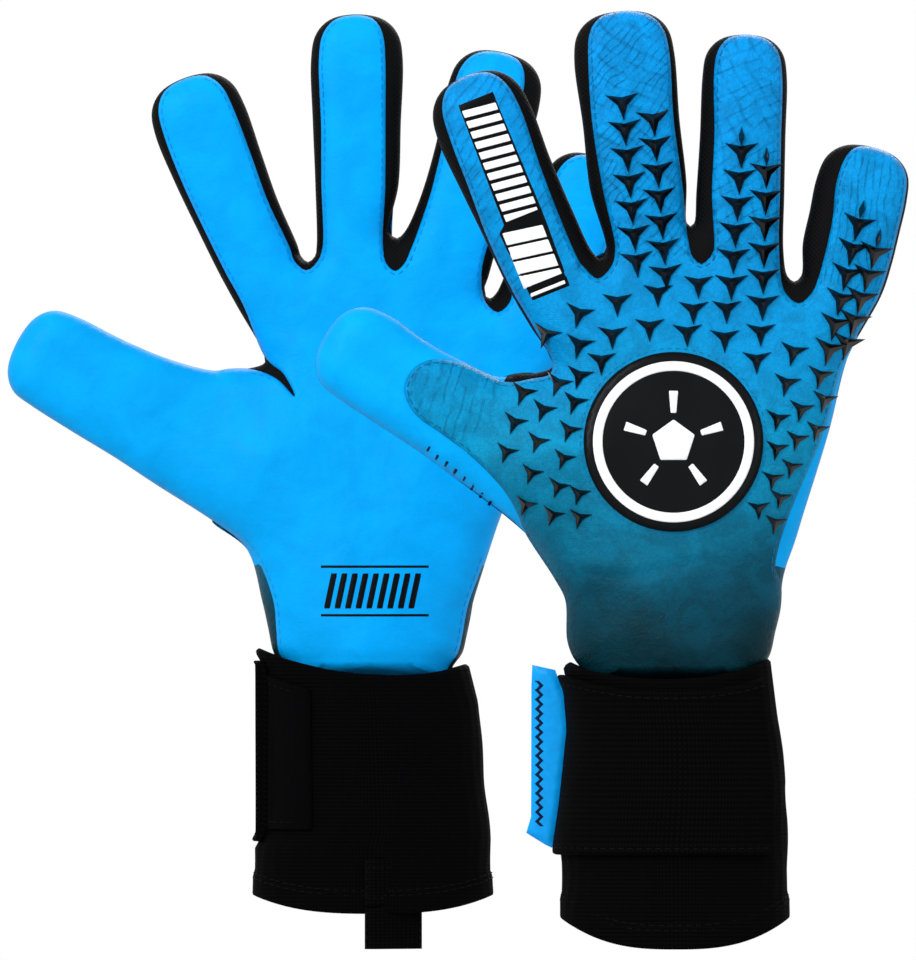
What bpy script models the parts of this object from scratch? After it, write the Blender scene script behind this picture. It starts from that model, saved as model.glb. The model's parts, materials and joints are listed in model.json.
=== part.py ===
"""A pair of goalkeeper gloves, upright as if worn, in metres with +Z up.

The right glove stands at the origin with its back towards -Y. The left glove stands behind it
with its palm towards -Y. Each glove is drawn in its own plane: u runs across the hand away from
the thumb, w runs up, and p points out of the palm. Panels are thin shells over that plane, side
walls are ribbons between them, and every digit hangs on a flex hinge at its root.
"""

import math

import bmesh
import bpy
import numpy as np
from mathutils import Vector, geometry

MM = 0.001

# Driving dimensions, in millimetres.
GAP = 0.4  # clearance between neighbouring pieces
LATEX = 2.8  # thickness of palm and back panels at their edge
GUSSET_WALL = 1.8
FINGER_EDGE = 5.8  # half height of the side wall between the two panels
FINGER_HALF = 11.0  # half thickness of a finger
THUMB_CROWN = 1.0  # the thumb's wrap is this much fuller
THUMB_TIP_WALL = 0.6  # the wrap's tip wall leans out this far towards its rim
TIP_ROUND = 15.0
TIP_POWER = 2.6  # superellipse power of tips and domes
HINGE_DEPTH = 5.0  # hinge axis towards the palm side of the glove's middle plane
HINGE_RISE = {"thumb": 2.0}  # a digit's hinge lies this far above its root crease
FINGER_RISE = 6.0
FINGER_START = 8.0  # panels of a digit start this far above its hinge
HAND_END = 1.0  # panels of the hand end this far above the hinges
WEB_LEVELS = (-6.0, -3.0, 0.0, 3.0, 6.0)  # heights of a crotch gusset's rows about the hinges
WEB_THINNEST = 0.8  # rows narrower than this are left out
CROTCH_DROP = 7.0  # the notch between two fingers lies this far below their hinges
THUMB_CROTCH = (5.5, 6.0)  # from the thumb's upper root corner to the bottom of its crotch
PLATE_SPACING = 13.0  # between vertices inside the hand panels
LEFT_OFFSET = (-98.0, 200.0)  # X and Y of the left cuff's centre
WRIST_TOP = 92.0
CUFF_RIM_HALF = (36.5, 25.0)
CUFF_TOP_HALF = (31.5, 22.5)
CUFF_WALL = 2.8
CUFF_STEPS = 28
STRAP_THICK = 2.0
STRAP_LOW = 30.0
STRAP_HIGH = 88.0
STRAP_ABOVE_RIM = 22.0
STRAP_SPAN = (-35.0, -184.0)  # degrees round the cuff
LOOP_SPAN = (160.0, 122.0)
BAND_STEP = 11.0  # about this many degrees between a strip's columns
LOOP_MARGIN = 4.0  # the loop patch is this much shorter than the strap at both ends
LOOP_THICK = 1.2
TAB_LENGTH = 10.0
TAB_THICK = 1.8
TAB_ANGLE = 170.0  # where the tab's fold line stands, in degrees round the cuff
TAB_PROUD = 1.6  # the fold line's distance outside the strap
TAB_GAP = 0.6  # from the fold line to the tab
TAB_LOW = 1.5  # the tab starts this far above the strap's lower edge
TAB_HIGH = 1.0  # and ends this far below its upper edge
TAB_FOLD_HEIGHT = 60.0
TAB_REST = {"right": 173.0, "left": 99.0}  # world angle of each tab about Z, from +X
PULL_CENTRE = 7.0
PULL_WIDTH = 19.0
PULL_FREE = 13.5
PULL_SEWN = 16.0
PULL_THICK = 1.4
PULL_FOLD = 0.5  # the tongue's fold line stands this far outside the sewn strip
PULL_FLAT = (0.1, 0.6)  # the folded-up tongue's distance out from and above the fold line
BADGE_CENTRE = (-1.0, 162.0)
BADGE_RADII = (0.0, 12.0, 21.0, 28.8)
BADGE_STEPS = 30
BADGE_THICK = 1.4
BADGE_GAP = 0.6
RING_RADII = (22.6, 25.8)
RING_THICK = 0.8
RING_GAP = 0.5

# Places across a digit, in half widths, where its panels have vertices.
COLUMNS = (-1.0, -0.82, -0.42, 0.0, 0.42, 0.82, 1.0)
THUMB_COLUMNS = (-1.0, -0.75, -0.35, 0.0, 0.35, 0.75, 1.0)

# Each digit: centre at the root crease, tip, half width at root and near the tip.
RIGHT_DIGITS = {
    "index": ((-36.8, 210.6), (-64.6, 280.3), 12.4, 13.6),
    "middle": ((-9.6, 217.6), (-16.3, 300.2), 12.4, 15.2),
    "ring": ((20.6, 217.0), (21.3, 292.5), 12.2, 13.4),
    "little": ((49.8, 206.7), (61.6, 256.6), 11.2, 14.0),
    "thumb": ((-63.5, 166.7), (-112.3, 194.6), 17.6, 16.0),
}
LEFT_DIGITS = {
    "index": ((-34.7, 216.7), (-59.0, 283.3), 12.2, 13.2),
    "middle": ((-4.9, 220.3), (-4.6, 302.9), 11.8, 14.6),
    "ring": ((23.2, 214.0), (41.6, 290.8), 12.0, 14.2),
    "little": ((54.0, 207.2), (74.8, 258.0), 11.6, 13.8),
    "thumb": ((-60.0, 165.2), (-117.7, 195.0), 18.6, 14.6),
}
FINGERS = ("index", "middle", "ring", "little")

# The hand's two long edges from the wrist upwards.
ULNAR_EDGE = ((30.5, 93.0), (34.5, 107.0), (35.5, 120.0), (40.6, 143.4), (48.5, 165.8), (54.5, 188.2))
THENAR_EDGE = ((-33.5, 93.0), (-35.5, 106.0), (-39.0, 118.0), (-48.3, 132.5))
HAND_LEFT = ((93, -33.5), (118, -39.0), (133, -49.0), (150, -64.0), (185, -54.0), (215, -50.0))
HAND_RIGHT = ((93, 30.5), (120, 35.5), (143, 40.6), (166, 48.5), (188, 54.5), (215, 60.0))
HAND_HALF = ((93, 22.5), (120, 20.5), (160, 17.5), (200, 12.5), (218, 11.0))
EDGE_HALF = ((93, 9.0), (130, 8.0), (200, FINGER_EDGE), (218, FINGER_EDGE))

COLOURS = {
    "latex": ((0.0, 0.38, 0.95), 0.55),
    "back": ((0.02, 0.24, 0.62), 0.6),
    "gusset": ((0.008, 0.008, 0.01), 0.8),
    "knit": ((0.006, 0.006, 0.007), 0.85),
    "badge": ((0.004, 0.004, 0.005), 0.4),
    "ring": ((0.85, 0.86, 0.87), 0.45),
}


def ramp(table, value):
    return float(np.interp(value, [row[0] for row in table], [row[1] for row in table]))


def dome(across, along=0.0):
    """Height of a panel's crown: 1 in the middle and 0 on its outline."""
    reach = abs(across) ** TIP_POWER + max(0.0, along) ** TIP_POWER
    return max(0.0, 1.0 - reach) ** (1.0 / TIP_POWER)


def hand_across(u, w):
    left = ramp(HAND_LEFT, w)
    right = ramp(HAND_RIGHT, w)
    return min(1.0, abs(2 * u - left - right) / (right - left))


def hand_outer(u, w):
    edge = ramp(EDGE_HALF, w) + LATEX
    return edge + (ramp(HAND_HALF, w) - edge) * dome(hand_across(u, w))


def hand_inner(u, w):
    edge = ramp(EDGE_HALF, w)
    return edge + (ramp(HAND_HALF, w) - LATEX - edge) * dome(hand_across(u, w))


class Glove:
    """One glove's frame. side is +1 where the palm faces +Y and -1 where it faces -Y."""

    def __init__(self, name, side, digits, rim):
        self.name = name
        self.side = side
        self.digits = digits
        self.rim = rim
        self.centre = (0.0, 0.0) if side > 0 else LEFT_OFFSET
        self.empty = empty(name + "_hand", (self.centre[0] * MM, self.centre[1] * MM, 0.0), None)

    def world(self, u, w, p):
        return np.array([self.centre[0] + u, self.centre[1] + self.side * p, w])


class Digit:
    """A digit's own axes: t runs up it from its hinge and s across it, away from the thumb."""

    def __init__(self, glove, name):
        root, tip, self.half_root, self.half_tip = glove.digits[name]
        self.glove = glove
        self.name = name
        along = np.subtract(tip, root)
        rise = HINGE_RISE.get(name, FINGER_RISE)
        self.along = along / np.hypot(*along)
        self.across = np.array([self.along[1], -self.along[0]])
        self.hinge = np.array(root) + self.along * rise
        self.length = float(np.hypot(*along)) - rise
        self.slim = 0.92 if name == "little" else 1.0
        pivot = glove.world(self.hinge[0], self.hinge[1], HINGE_DEPTH) * MM
        self.empty = empty(f"{glove.name}_{name}_flex", pivot, glove.empty)

    def half(self, t):
        share = min(1.0, max(0.0, (t - FINGER_START) / (self.length - TIP_ROUND - FINGER_START)))
        return self.half_root + (self.half_tip - self.half_root) * share

    def plane(self, t, s):
        return self.hinge + self.along * t + self.across * s

    def point(self, t, s, p):
        u, w = self.plane(t, s)
        return self.glove.world(u, w, p)

    def rows(self):
        """(t, half width, how far into the rounded tip) of each station up the digit."""
        straight = np.linspace(FINGER_START, self.length - TIP_ROUND, 4)
        found = [(t, self.half(t), 0.0) for t in straight]
        for angle in np.radians((32.0, 56.0, 76.0)):
            into = math.sin(angle) ** (2 / TIP_POWER)
            wide = self.half_tip * math.cos(angle) ** (2 / TIP_POWER)
            found.append((self.length - TIP_ROUND + TIP_ROUND * into, wide, into))
        return found


def empty(name, location, parent):
    obj = bpy.data.objects.new(name, None)
    bpy.context.scene.collection.objects.link(obj)
    obj.parent = parent
    held = parent["at"] if parent else (0.0, 0.0, 0.0)
    obj.location = [a - b for a, b in zip(location, held)]
    obj["at"] = [float(v) for v in location]
    return obj


def material(name):
    found = bpy.data.materials.get(name)
    if found:
        return found
    colour, rough = COLOURS[name]
    found = bpy.data.materials.new(name)
    found.use_nodes = True
    shader = found.node_tree.nodes["Principled BSDF"]
    shader.inputs["Base Color"].default_value = (*colour, 1.0)
    shader.inputs["Roughness"].default_value = rough
    shader.inputs["Metallic"].default_value = 0.0
    return found


def solid(name, points, faces, parent, finish):
    """A closed mesh from points in world millimetres, hung on its parent empty."""
    held = np.array(parent["at"]) if parent else np.zeros(3)
    mesh = bpy.data.meshes.new(name)
    mesh.from_pydata([tuple(np.array(p) * MM - held) for p in points], [], faces)
    work = bmesh.new()
    work.from_mesh(mesh)
    bmesh.ops.recalc_face_normals(work, faces=work.faces)
    if work.calc_volume(signed=True) < 0:
        bmesh.ops.reverse_faces(work, faces=work.faces)
    bmesh.ops.triangulate(work, faces=work.faces)
    work.to_mesh(mesh)
    work.free()
    mesh.materials.append(material(finish))
    mesh.shade_smooth()
    mesh.set_sharp_from_angle(angle=math.radians(40))
    obj = bpy.data.objects.new(name, mesh)
    bpy.context.scene.collection.objects.link(obj)
    obj.parent = parent
    return obj


def shell(outer, inner):
    """Points and faces of a closed shell between two grids of the same shape."""
    rows, columns = len(outer), len(outer[0])
    points = [p for row in outer for p in row] + [p for row in inner for p in row]
    half = rows * columns
    faces = []
    for i in range(rows - 1):
        for j in range(columns - 1):
            a = i * columns + j
            faces.append((a, a + 1, a + columns + 1, a + columns))
            faces.append((half + a, half + a + columns, half + a + columns + 1, half + a + 1))
    rim = list(range(columns))
    rim += [i * columns + columns - 1 for i in range(1, rows)]
    rim += [(rows - 1) * columns + j for j in range(columns - 2, -1, -1)]
    rim += [i * columns for i in range(rows - 2, 0, -1)]
    for a, b in zip(rim, rim[1:] + rim[:1]):
        faces.append((b, a, half + a, half + b))
    return points, faces


def ribbon(path, inset, low, high):
    """Points and faces of a wall that follows path, inset to its left, from low to high."""
    path = [np.array(p, float) for p in path]
    points = []
    for i, here in enumerate(path):
        before = path[max(0, i - 1)]
        after = path[min(len(path) - 1, i + 1)]
        run = (after - before) / np.hypot(*(after - before))
        inward = here + inset * np.array([-run[1], run[0]])
        down = low(*here)
        up = high(*here)
        points += [(*here, down), (*inward, down), (*inward, up), (*here, up)]
    faces = [(0, 1, 2, 3)]
    for i in range(len(path) - 1):
        for k in range(4):
            a = 4 * i + k
            b = 4 * i + (k + 1) % 4
            faces.append((a, b, b + 4, a + 4))
    last = 4 * (len(path) - 1)
    faces.append((last + 3, last + 2, last + 1, last))
    return points, faces


def plate(outline, low, high):
    """A slab over a plane outline. low and high give its two faces' heights at a point."""
    edge = []
    for a, b in zip(outline, outline[1:] + outline[:1]):
        a, b = np.array(a, float), np.array(b, float)
        count = max(1, round(float(np.hypot(*(b - a))) / PLATE_SPACING))
        edge += [a + (b - a) * k / count for k in range(count)]
    polygon = np.array(edge)
    inside = []
    lowest, highest = polygon.min(axis=0), polygon.max(axis=0)
    row_step = PLATE_SPACING * math.sqrt(0.75)
    for j in range(int((highest[1] - lowest[1]) / row_step) + 1):
        for i in range(int((highest[0] - lowest[0]) / PLATE_SPACING) + 2):
            spot = lowest + np.array([(i + 0.5 * (j % 2)) * PLATE_SPACING, (j + 0.5) * row_step])
            if within(spot, polygon) and clearance(spot, polygon) > 0.55 * PLATE_SPACING:
                inside.append(spot)
    spots = [Vector(p) for p in [*edge, *inside]]
    loop = [(i, (i + 1) % len(edge)) for i in range(len(edge))]
    found = geometry.delaunay_2d_cdt(spots, loop, [list(range(len(edge)))], 1, 1e-5)
    flat = [tuple(v) for v in found[0]]
    triangles = found[2]
    points = [(u, w, high(u, w)) for u, w in flat] + [(u, w, low(u, w)) for u, w in flat]
    count = len(flat)
    faces = [tuple(t) for t in triangles]
    faces += [tuple(count + i for i in reversed(t)) for t in triangles]
    sides = {}
    for t in triangles:
        for a, b in zip(t, [*t[1:], t[0]]):
            sides[(a, b)] = True
    for a, b in sides:
        if (b, a) not in sides:
            faces.append((b, a, count + a, count + b))
    return points, faces


def within(spot, polygon):
    odd = False
    for a, b in zip(polygon, np.roll(polygon, -1, axis=0)):
        if (a[1] > spot[1]) != (b[1] > spot[1]):
            if spot[0] < a[0] + (b[0] - a[0]) * (spot[1] - a[1]) / (b[1] - a[1]):
                odd = not odd
    return odd


def clearance(spot, polygon):
    after = np.roll(polygon, -1, axis=0)
    run = after - polygon
    share = ((spot - polygon) * run).sum(axis=1) / np.maximum((run * run).sum(axis=1), 1e-9)
    nearest = polygon + np.clip(share, 0, 1)[:, None] * run
    return float(np.hypot(*(nearest - spot).T).min())


def upright(glove, points):
    """Turns (u, w, p) points into world ones."""
    return [glove.world(*p) for p in points]


def digit_panel(digit, side):
    """A back or palm panel of one digit."""
    face, finish = (-1, "back") if side == "back" else (1, "latex")
    edge = FINGER_EDGE + LATEX * digit.slim
    crown = FINGER_HALF * digit.slim - edge
    outer, inner = [], []
    for t, half, into in digit.rows():
        slope = math.sqrt(1 - into**2)
        rise = [crown * dome(c * slope, into) for c in COLUMNS]
        outer.append([digit.point(t, c * half, face * (edge + k)) for c, k in zip(COLUMNS, rise)])
        inner.append([digit.point(t, c * half, face * (FINGER_EDGE + k)) for c, k in zip(COLUMNS, rise)])
    points, faces = shell(outer, inner)
    solid(f"{digit.glove.name}_{digit.name}_{side}", points, faces, digit.empty, finish)


def digit_gusset(digit):
    """The wall round a finger, up one side, over the tip and down the other."""
    rows = digit.rows()
    path = [digit.plane(t, half) for t, half, _ in rows]
    path += [digit.plane(t, -half) for t, half, _ in reversed(rows)]
    high = FINGER_EDGE - GAP
    points, faces = ribbon(path, GUSSET_WALL, lambda u, w: -high, lambda u, w: high)
    name = f"{digit.glove.name}_{digit.name}_gusset"
    solid(name, upright(digit.glove, points), faces, digit.empty, "gusset")


def thumb_wrap(digit):
    """The palm latex of the thumb, rolled up both sides and over the tip as one deep tub."""
    rim = -(FINGER_EDGE - GAP)
    edge = FINGER_EDGE + LATEX
    full = FINGER_HALF + THUMB_CROWN - edge
    outer, inner = [], []
    rows = digit.rows()
    for t, half, into in rows:
        crown = [edge + full * dome(c, into) for c in THUMB_COLUMNS]
        row = [digit.point(t, -half, rim)]
        row += [digit.point(t, c * half, h) for c, h in zip(THUMB_COLUMNS, crown)]
        row.append(digit.point(t, half, rim))
        outer.append(row)
        slim = half - LATEX
        low = t - LATEX * into
        row = [digit.point(low, -slim, rim)]
        row += [digit.point(low, c * slim, h - LATEX) for c, h in zip(THUMB_COLUMNS, crown)]
        row.append(digit.point(low, slim, rim))
        inner.append(row)
    t, half, _ = rows[-1]
    t += THUMB_TIP_WALL
    places = (-1.0, *THUMB_COLUMNS, 1.0)
    outer.append([digit.point(t, c * half, rim) for c in places])
    inner.append([digit.point(t - LATEX, c * (half - LATEX), rim) for c in places])
    points, faces = shell(outer, inner)
    solid(f"{digit.glove.name}_thumb_wrap", points, faces, digit.empty, "latex")


def web(glove, first, second):
    """The crotch gusset between two fingers, kept clear of both fingers' side planes."""
    a, b = glove.fingers[first], glove.fingers[second]
    rows = []
    for t in WEB_LEVELS:
        left = a.plane(t, a.half(t) + GAP)
        right = b.plane(t, -b.half(t) - GAP)
        if right[0] - left[0] > WEB_THINNEST:
            rows.append((left, right))
    ring = [tuple(row[1]) for row in rows] + [tuple(row[0]) for row in reversed(rows)]
    half = FINGER_EDGE - GAP
    points = [(*p, -half) for p in ring] + [(*p, half) for p in ring]
    count = len(ring)
    faces = [tuple(range(count)), tuple(reversed(range(count, 2 * count)))]
    faces += [(i, (i + 1) % count, count + (i + 1) % count, count + i) for i in range(count)]
    solid(f"{glove.name}_web_{first}_{second}", upright(glove, points), faces, glove.empty, "gusset")


def hand_outline(glove):
    """The hand panels' outline, anticlockwise from the wrist's outer corner."""
    fingers = [glove.fingers[name] for name in FINGERS]
    thumb = glove.fingers["thumb"]
    little = fingers[-1]
    ring = [np.array(p) for p in ULNAR_EDGE]
    ring.append(little.plane(HAND_END, little.half_root))
    for left, right in reversed(list(zip(fingers[:-1], fingers[1:]))):
        ring.append(right.plane(HAND_END, -right.half_root))
        notch = right.plane(-CROTCH_DROP, -right.half_root) + left.plane(-CROTCH_DROP, left.half_root)
        ring.append(notch / 2)
        ring.append(left.plane(HAND_END, left.half_root))
    ring.append(fingers[0].plane(HAND_END, -fingers[0].half_root))
    crotch = len(ring)
    ring.append(thumb.plane(HAND_END, thumb.half_root) + np.array(THUMB_CROTCH))
    ring.append(thumb.plane(HAND_END, thumb.half_root))
    lower = len(ring)
    ring.append(thumb.plane(HAND_END, -thumb.half_root))
    ring += [np.array(p) for p in reversed(THENAR_EDGE)]
    return ring, crotch, lower


def hand(glove):
    ring, crotch, lower = hand_outline(glove)
    outline = [tuple(p) for p in ring]
    for face, side, finish in ((-1, "back", "back"), (1, "palm", "latex")):
        points, faces = plate(
            outline,
            lambda u, w, face=face: face * hand_inner(u, w),
            lambda u, w, face=face: face * hand_outer(u, w),
        )
        solid(f"{glove.name}_hand_{side}", upright(glove, points), faces, glove.empty, finish)
    ulnar = ring[: len(ULNAR_EDGE) + 1]
    walls = {
        "ulnar_side": (ulnar, "latex"),
        "thumb_crotch_gusset": (ring[crotch - 1 : lower], "gusset"),
        "thenar_side": (ring[lower:], "latex"),
    }
    for name, (path, finish) in walls.items():
        points, faces = ribbon(
            path,
            GUSSET_WALL,
            lambda u, w: -(ramp(EDGE_HALF, w) - GAP),
            lambda u, w: ramp(EDGE_HALF, w) - GAP,
        )
        solid(f"{glove.name}_{name}", upright(glove, points), faces, glove.empty, finish)


def oval(glove, w, angle, proud):
    """A point outside the cuff's surface by proud, at a height and an angle from +u to +p."""
    share = (w - glove.rim) / (WRIST_TOP - glove.rim)
    wide = CUFF_RIM_HALF[0] + (CUFF_TOP_HALF[0] - CUFF_RIM_HALF[0]) * share + proud
    deep = CUFF_RIM_HALF[1] + (CUFF_TOP_HALF[1] - CUFF_RIM_HALF[1]) * share + proud
    return glove.world(wide * math.cos(angle), w, deep * math.sin(angle))


def cuff(glove):
    steps = CUFF_STEPS
    levels = (glove.rim, (glove.rim + WRIST_TOP) / 2, WRIST_TOP)
    angles = [2 * math.pi * k / steps for k in range(steps)]
    points = [oval(glove, w, a, 0.0) for w in levels for a in angles]
    points += [oval(glove, w, a, -CUFF_WALL) for w in levels for a in angles]
    count = len(levels) * steps
    faces = []
    for k in range(steps):
        n = (k + 1) % steps
        for i in range(len(levels) - 1):
            a, b = i * steps + k, i * steps + n
            faces.append((a, b, b + steps, a + steps))
            faces.append((count + b, count + a, count + a + steps, count + b + steps))
        top = (len(levels) - 1) * steps
        faces.append((k, count + k, count + n, n))
        faces.append((top + n, count + top + n, count + top + k, top + k))
    solid(f"{glove.name}_cuff", points, faces, glove.empty, "knit")


def band(glove, name, span, levels, thick):
    """A strip that hugs the cuff between two angles, in degrees."""
    first, last = span
    angles = np.radians(np.linspace(first, last, max(3, round(abs(last - first) / BAND_STEP))))
    outer = [[oval(glove, w, a, GAP + thick) for a in angles] for w in levels]
    inner = [[oval(glove, w, a, GAP) for a in angles] for w in levels]
    points, faces = shell(outer, inner)
    solid(f"{glove.name}_{name}", points, faces, glove.empty, "knit")


def box(name, corner, size, parent, finish, turn=None, about=None):
    """A block between a corner and corner + size in world millimetres, turned about a vertical line."""
    points = []
    for k in range(8):
        point = np.array([corner[i] + size[i] * (k >> i & 1) for i in range(3)], float)
        if turn:
            spin = np.array([[math.cos(turn), -math.sin(turn)], [math.sin(turn), math.cos(turn)]])
            point[:2] = about + spin @ (point[:2] - about)
        points.append(point)
    faces = [(0, 2, 3, 1), (4, 5, 7, 6), (0, 1, 5, 4), (2, 6, 7, 3), (0, 4, 6, 2), (1, 3, 7, 5)]
    solid(name, points, faces, parent, finish)


def strap(glove):
    low = max(STRAP_LOW, glove.rim + STRAP_ABOVE_RIM)
    levels = (low, TAB_FOLD_HEIGHT, STRAP_HIGH)
    band(glove, "wrist_strap", STRAP_SPAN, levels, STRAP_THICK)
    levels = (low + LOOP_MARGIN, STRAP_HIGH - LOOP_MARGIN)
    band(glove, "loop_patch", LOOP_SPAN, levels, LOOP_THICK)
    tab(glove, low)


def tab(glove, low):
    """The strap's free end on its fold line, a tongue that lies out from the cuff's thumb side."""
    fold = oval(glove, low, math.radians(TAB_ANGLE), STRAP_THICK + TAB_PROUD)
    pivot = (fold[0] * MM, fold[1] * MM, TAB_FOLD_HEIGHT * MM)
    joint = empty(f"{glove.name}_strap_tab_fold", pivot, glove.empty)
    rest = math.radians(TAB_REST[glove.name])
    corner = (fold[0] + TAB_GAP, fold[1] - TAB_THICK / 2, low + TAB_LOW)
    size = (TAB_LENGTH - TAB_GAP, TAB_THICK, STRAP_HIGH - TAB_HIGH - low - TAB_LOW)
    box(f"{glove.name}_strap_tab", corner, size, joint, "back", rest, fold[:2])


def pull_tab(glove):
    """A sewn strip on the cuff's palm side and the loose tongue that folds at the rim."""
    face = glove.centre[1] + glove.side * (CUFF_RIM_HALF[1] + GAP)
    left = glove.centre[0] + PULL_CENTRE - PULL_WIDTH / 2
    sewn = (left, min(face, face + glove.side * PULL_THICK), glove.rim + GAP)
    size = (PULL_WIDTH, PULL_THICK, PULL_SEWN)
    box(f"{glove.name}_pull_tab_base", sewn, size, glove.empty, "knit")
    fold_y = face + glove.side * (PULL_THICK + PULL_FOLD)
    pivot = (glove.centre[0] * MM, fold_y * MM, glove.rim * MM)
    joint = empty(f"{glove.name}_pull_tab_fold", pivot, glove.empty)
    if glove.side < 0:
        corner = (left, fold_y - PULL_THICK / 2, glove.rim - GAP - PULL_FREE)
    else:
        corner = (left, fold_y + PULL_FLAT[0], glove.rim + PULL_FLAT[1])
    box(f"{glove.name}_pull_tab", corner, (PULL_WIDTH, PULL_THICK, PULL_FREE), joint, "knit")


def badge(glove):
    """A round patch on the back of the hand and the ring printed on it, both following the crown."""
    for name, radii, proud, thick, finish in (
        ("badge_disc", BADGE_RADII, BADGE_GAP, BADGE_THICK, "badge"),
        ("badge_ring", RING_RADII, BADGE_GAP + BADGE_THICK + RING_GAP, RING_THICK, "ring"),
    ):
        outer = [badge_circle(glove, radius, proud + thick) for radius in radii]
        inner = [badge_circle(glove, radius, proud) for radius in radii]
        points, faces = disc_shell(outer, inner, radii[0] == 0)
        solid(f"{glove.name}_{name}", points, faces, glove.empty, finish)


def badge_circle(glove, radius, rise):
    """A circle about the badge's centre, rise above the back of the hand."""
    found = []
    for k in range(BADGE_STEPS):
        angle = 2 * math.pi * k / BADGE_STEPS
        u = BADGE_CENTRE[0] + radius * math.cos(angle)
        w = BADGE_CENTRE[1] + radius * math.sin(angle)
        found.append(glove.world(u, w, -(hand_outer(u, w) + rise)))
    return found


def disc_shell(outer, inner, filled):
    """A closed round plate from rings of points, with a centre point or a hole."""
    steps = len(outer[0])
    points, index = [], {}
    for part, rings in (("o", outer), ("i", inner)):
        for r, ring in enumerate(rings):
            if r == 0 and filled:
                index[part, r] = [len(points)] * steps
                points.append(ring[0])
            else:
                index[part, r] = list(range(len(points), len(points) + steps))
                points += ring
    faces = []
    for k in range(steps):
        n = (k + 1) % steps
        for part in ("o", "i"):
            for r in range(len(outer) - 1):
                a, b = index[part, r], index[part, r + 1]
                quad = (a[k], b[k], b[n]) if a[k] == a[n] else (a[k], b[k], b[n], a[n])
                faces.append(quad)
        last = len(outer) - 1
        faces.append((index["o", last][k], index["i", last][k], index["i", last][n], index["o", last][n]))
        if not filled:
            faces.append((index["o", 0][n], index["i", 0][n], index["i", 0][k], index["o", 0][k]))
    return points, faces


def make_glove(name, side, digits, rim):
    glove = Glove(name, side, digits, rim)
    glove.fingers = {digit: Digit(glove, digit) for digit in digits}
    for finger in FINGERS:
        digit = glove.fingers[finger]
        digit_panel(digit, "back")
        digit_panel(digit, "palm")
        digit_gusset(digit)
    digit_panel(glove.fingers["thumb"], "back")
    thumb_wrap(glove.fingers["thumb"])
    for first, second in zip(FINGERS[:-1], FINGERS[1:]):
        web(glove, first, second)
    hand(glove)
    cuff(glove)
    strap(glove)
    pull_tab(glove)
    badge(glove)


for thing in list(bpy.data.objects):
    bpy.data.objects.remove(thing, do_unlink=True)
make_glove("right", 1, RIGHT_DIGITS, 0.0)
make_glove("left", -1, LEFT_DIGITS, 9.4)
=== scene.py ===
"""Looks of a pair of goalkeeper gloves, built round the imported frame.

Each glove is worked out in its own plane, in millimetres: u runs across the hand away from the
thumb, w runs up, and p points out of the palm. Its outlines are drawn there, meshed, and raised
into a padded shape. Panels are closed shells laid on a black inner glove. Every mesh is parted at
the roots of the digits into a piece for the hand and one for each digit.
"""

import json
import math

import bpy
import numpy as np
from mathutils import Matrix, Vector, geometry

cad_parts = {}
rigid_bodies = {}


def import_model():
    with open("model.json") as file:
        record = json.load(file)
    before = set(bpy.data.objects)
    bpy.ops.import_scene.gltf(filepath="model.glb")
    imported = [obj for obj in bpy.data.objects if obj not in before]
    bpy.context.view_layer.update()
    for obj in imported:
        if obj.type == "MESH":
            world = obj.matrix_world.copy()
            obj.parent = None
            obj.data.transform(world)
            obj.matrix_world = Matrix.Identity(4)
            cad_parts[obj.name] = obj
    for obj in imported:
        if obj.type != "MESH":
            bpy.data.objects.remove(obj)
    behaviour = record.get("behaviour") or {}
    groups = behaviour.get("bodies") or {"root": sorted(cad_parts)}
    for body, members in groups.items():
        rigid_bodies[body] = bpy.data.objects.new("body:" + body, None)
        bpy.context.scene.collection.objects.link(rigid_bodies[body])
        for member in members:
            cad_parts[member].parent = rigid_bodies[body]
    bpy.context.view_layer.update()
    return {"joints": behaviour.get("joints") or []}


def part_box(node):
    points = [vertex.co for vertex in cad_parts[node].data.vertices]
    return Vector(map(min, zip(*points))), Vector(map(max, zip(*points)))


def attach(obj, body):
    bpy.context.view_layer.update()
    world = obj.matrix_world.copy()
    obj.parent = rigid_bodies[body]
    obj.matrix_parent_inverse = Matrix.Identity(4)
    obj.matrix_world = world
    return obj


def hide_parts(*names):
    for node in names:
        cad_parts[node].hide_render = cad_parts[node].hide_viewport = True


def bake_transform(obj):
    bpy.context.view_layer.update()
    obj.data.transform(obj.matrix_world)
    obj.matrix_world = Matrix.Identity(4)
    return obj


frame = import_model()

MM = 0.001
GLOVES = ("right", "left")
FINGERS = ("index", "middle", "ring", "little")
DIGITS = ("thumb", *FINGERS)

# Driving dimensions, in millimetres.
FINGER_HALF = 10.4  # half thickness of a finger's inner glove
EDGE_ROUND = 12.5  # how far in from the outline the side keeps curving
EDGE_POWER = 2.6  # how square that side is; 2 would be round
TIP_POWER = 2.5
PANEL_THICK = 1.5
PANEL_ROUND = 1.7  # how far in a panel's own edge is rounded
TUCK = 0.2  # how far a panel's border sinks into what it lies on
CUT = -2.0  # pieces part this far below each digit's hinge
BEND_LENGTH = 22.0  # length up each digit from its hinge to the end point that fasten works out
WRIST_TOP = 92.0
WRIST_END = 84.0  # the hand's fabric ends here, inside the cuff
STITCH_INSET = 1.2
STITCH_SINK = 0.1
LINING_DEPTH = 1.3  # how far inside the inner glove its lining lies
THREAD_FACES = 44  # triangles of one stitch
BADGE_CENTRE = (-1.0, 162.0)
BADGE_RADIUS = 28.8
BADGE_THICK = 1.5
RING_RADII = (22.6, 25.8)
CUFF_DEPTH = (24.8, 22.6)  # half depth at the rim and at the top
CUFF_SQUARE = 0.87
CUFF_WALL = 1.8
RIM_RISE = {"right": 9.5, "left": 5.6}  # the rim curves up this far at the cuff's sides
RIM_DROP = {"right": 0.0, "left": 1.5}  # and lies this far below the CAD rim elsewhere
TOP_SAG = 5.7  # the top edge dips this far at front and back
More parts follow.
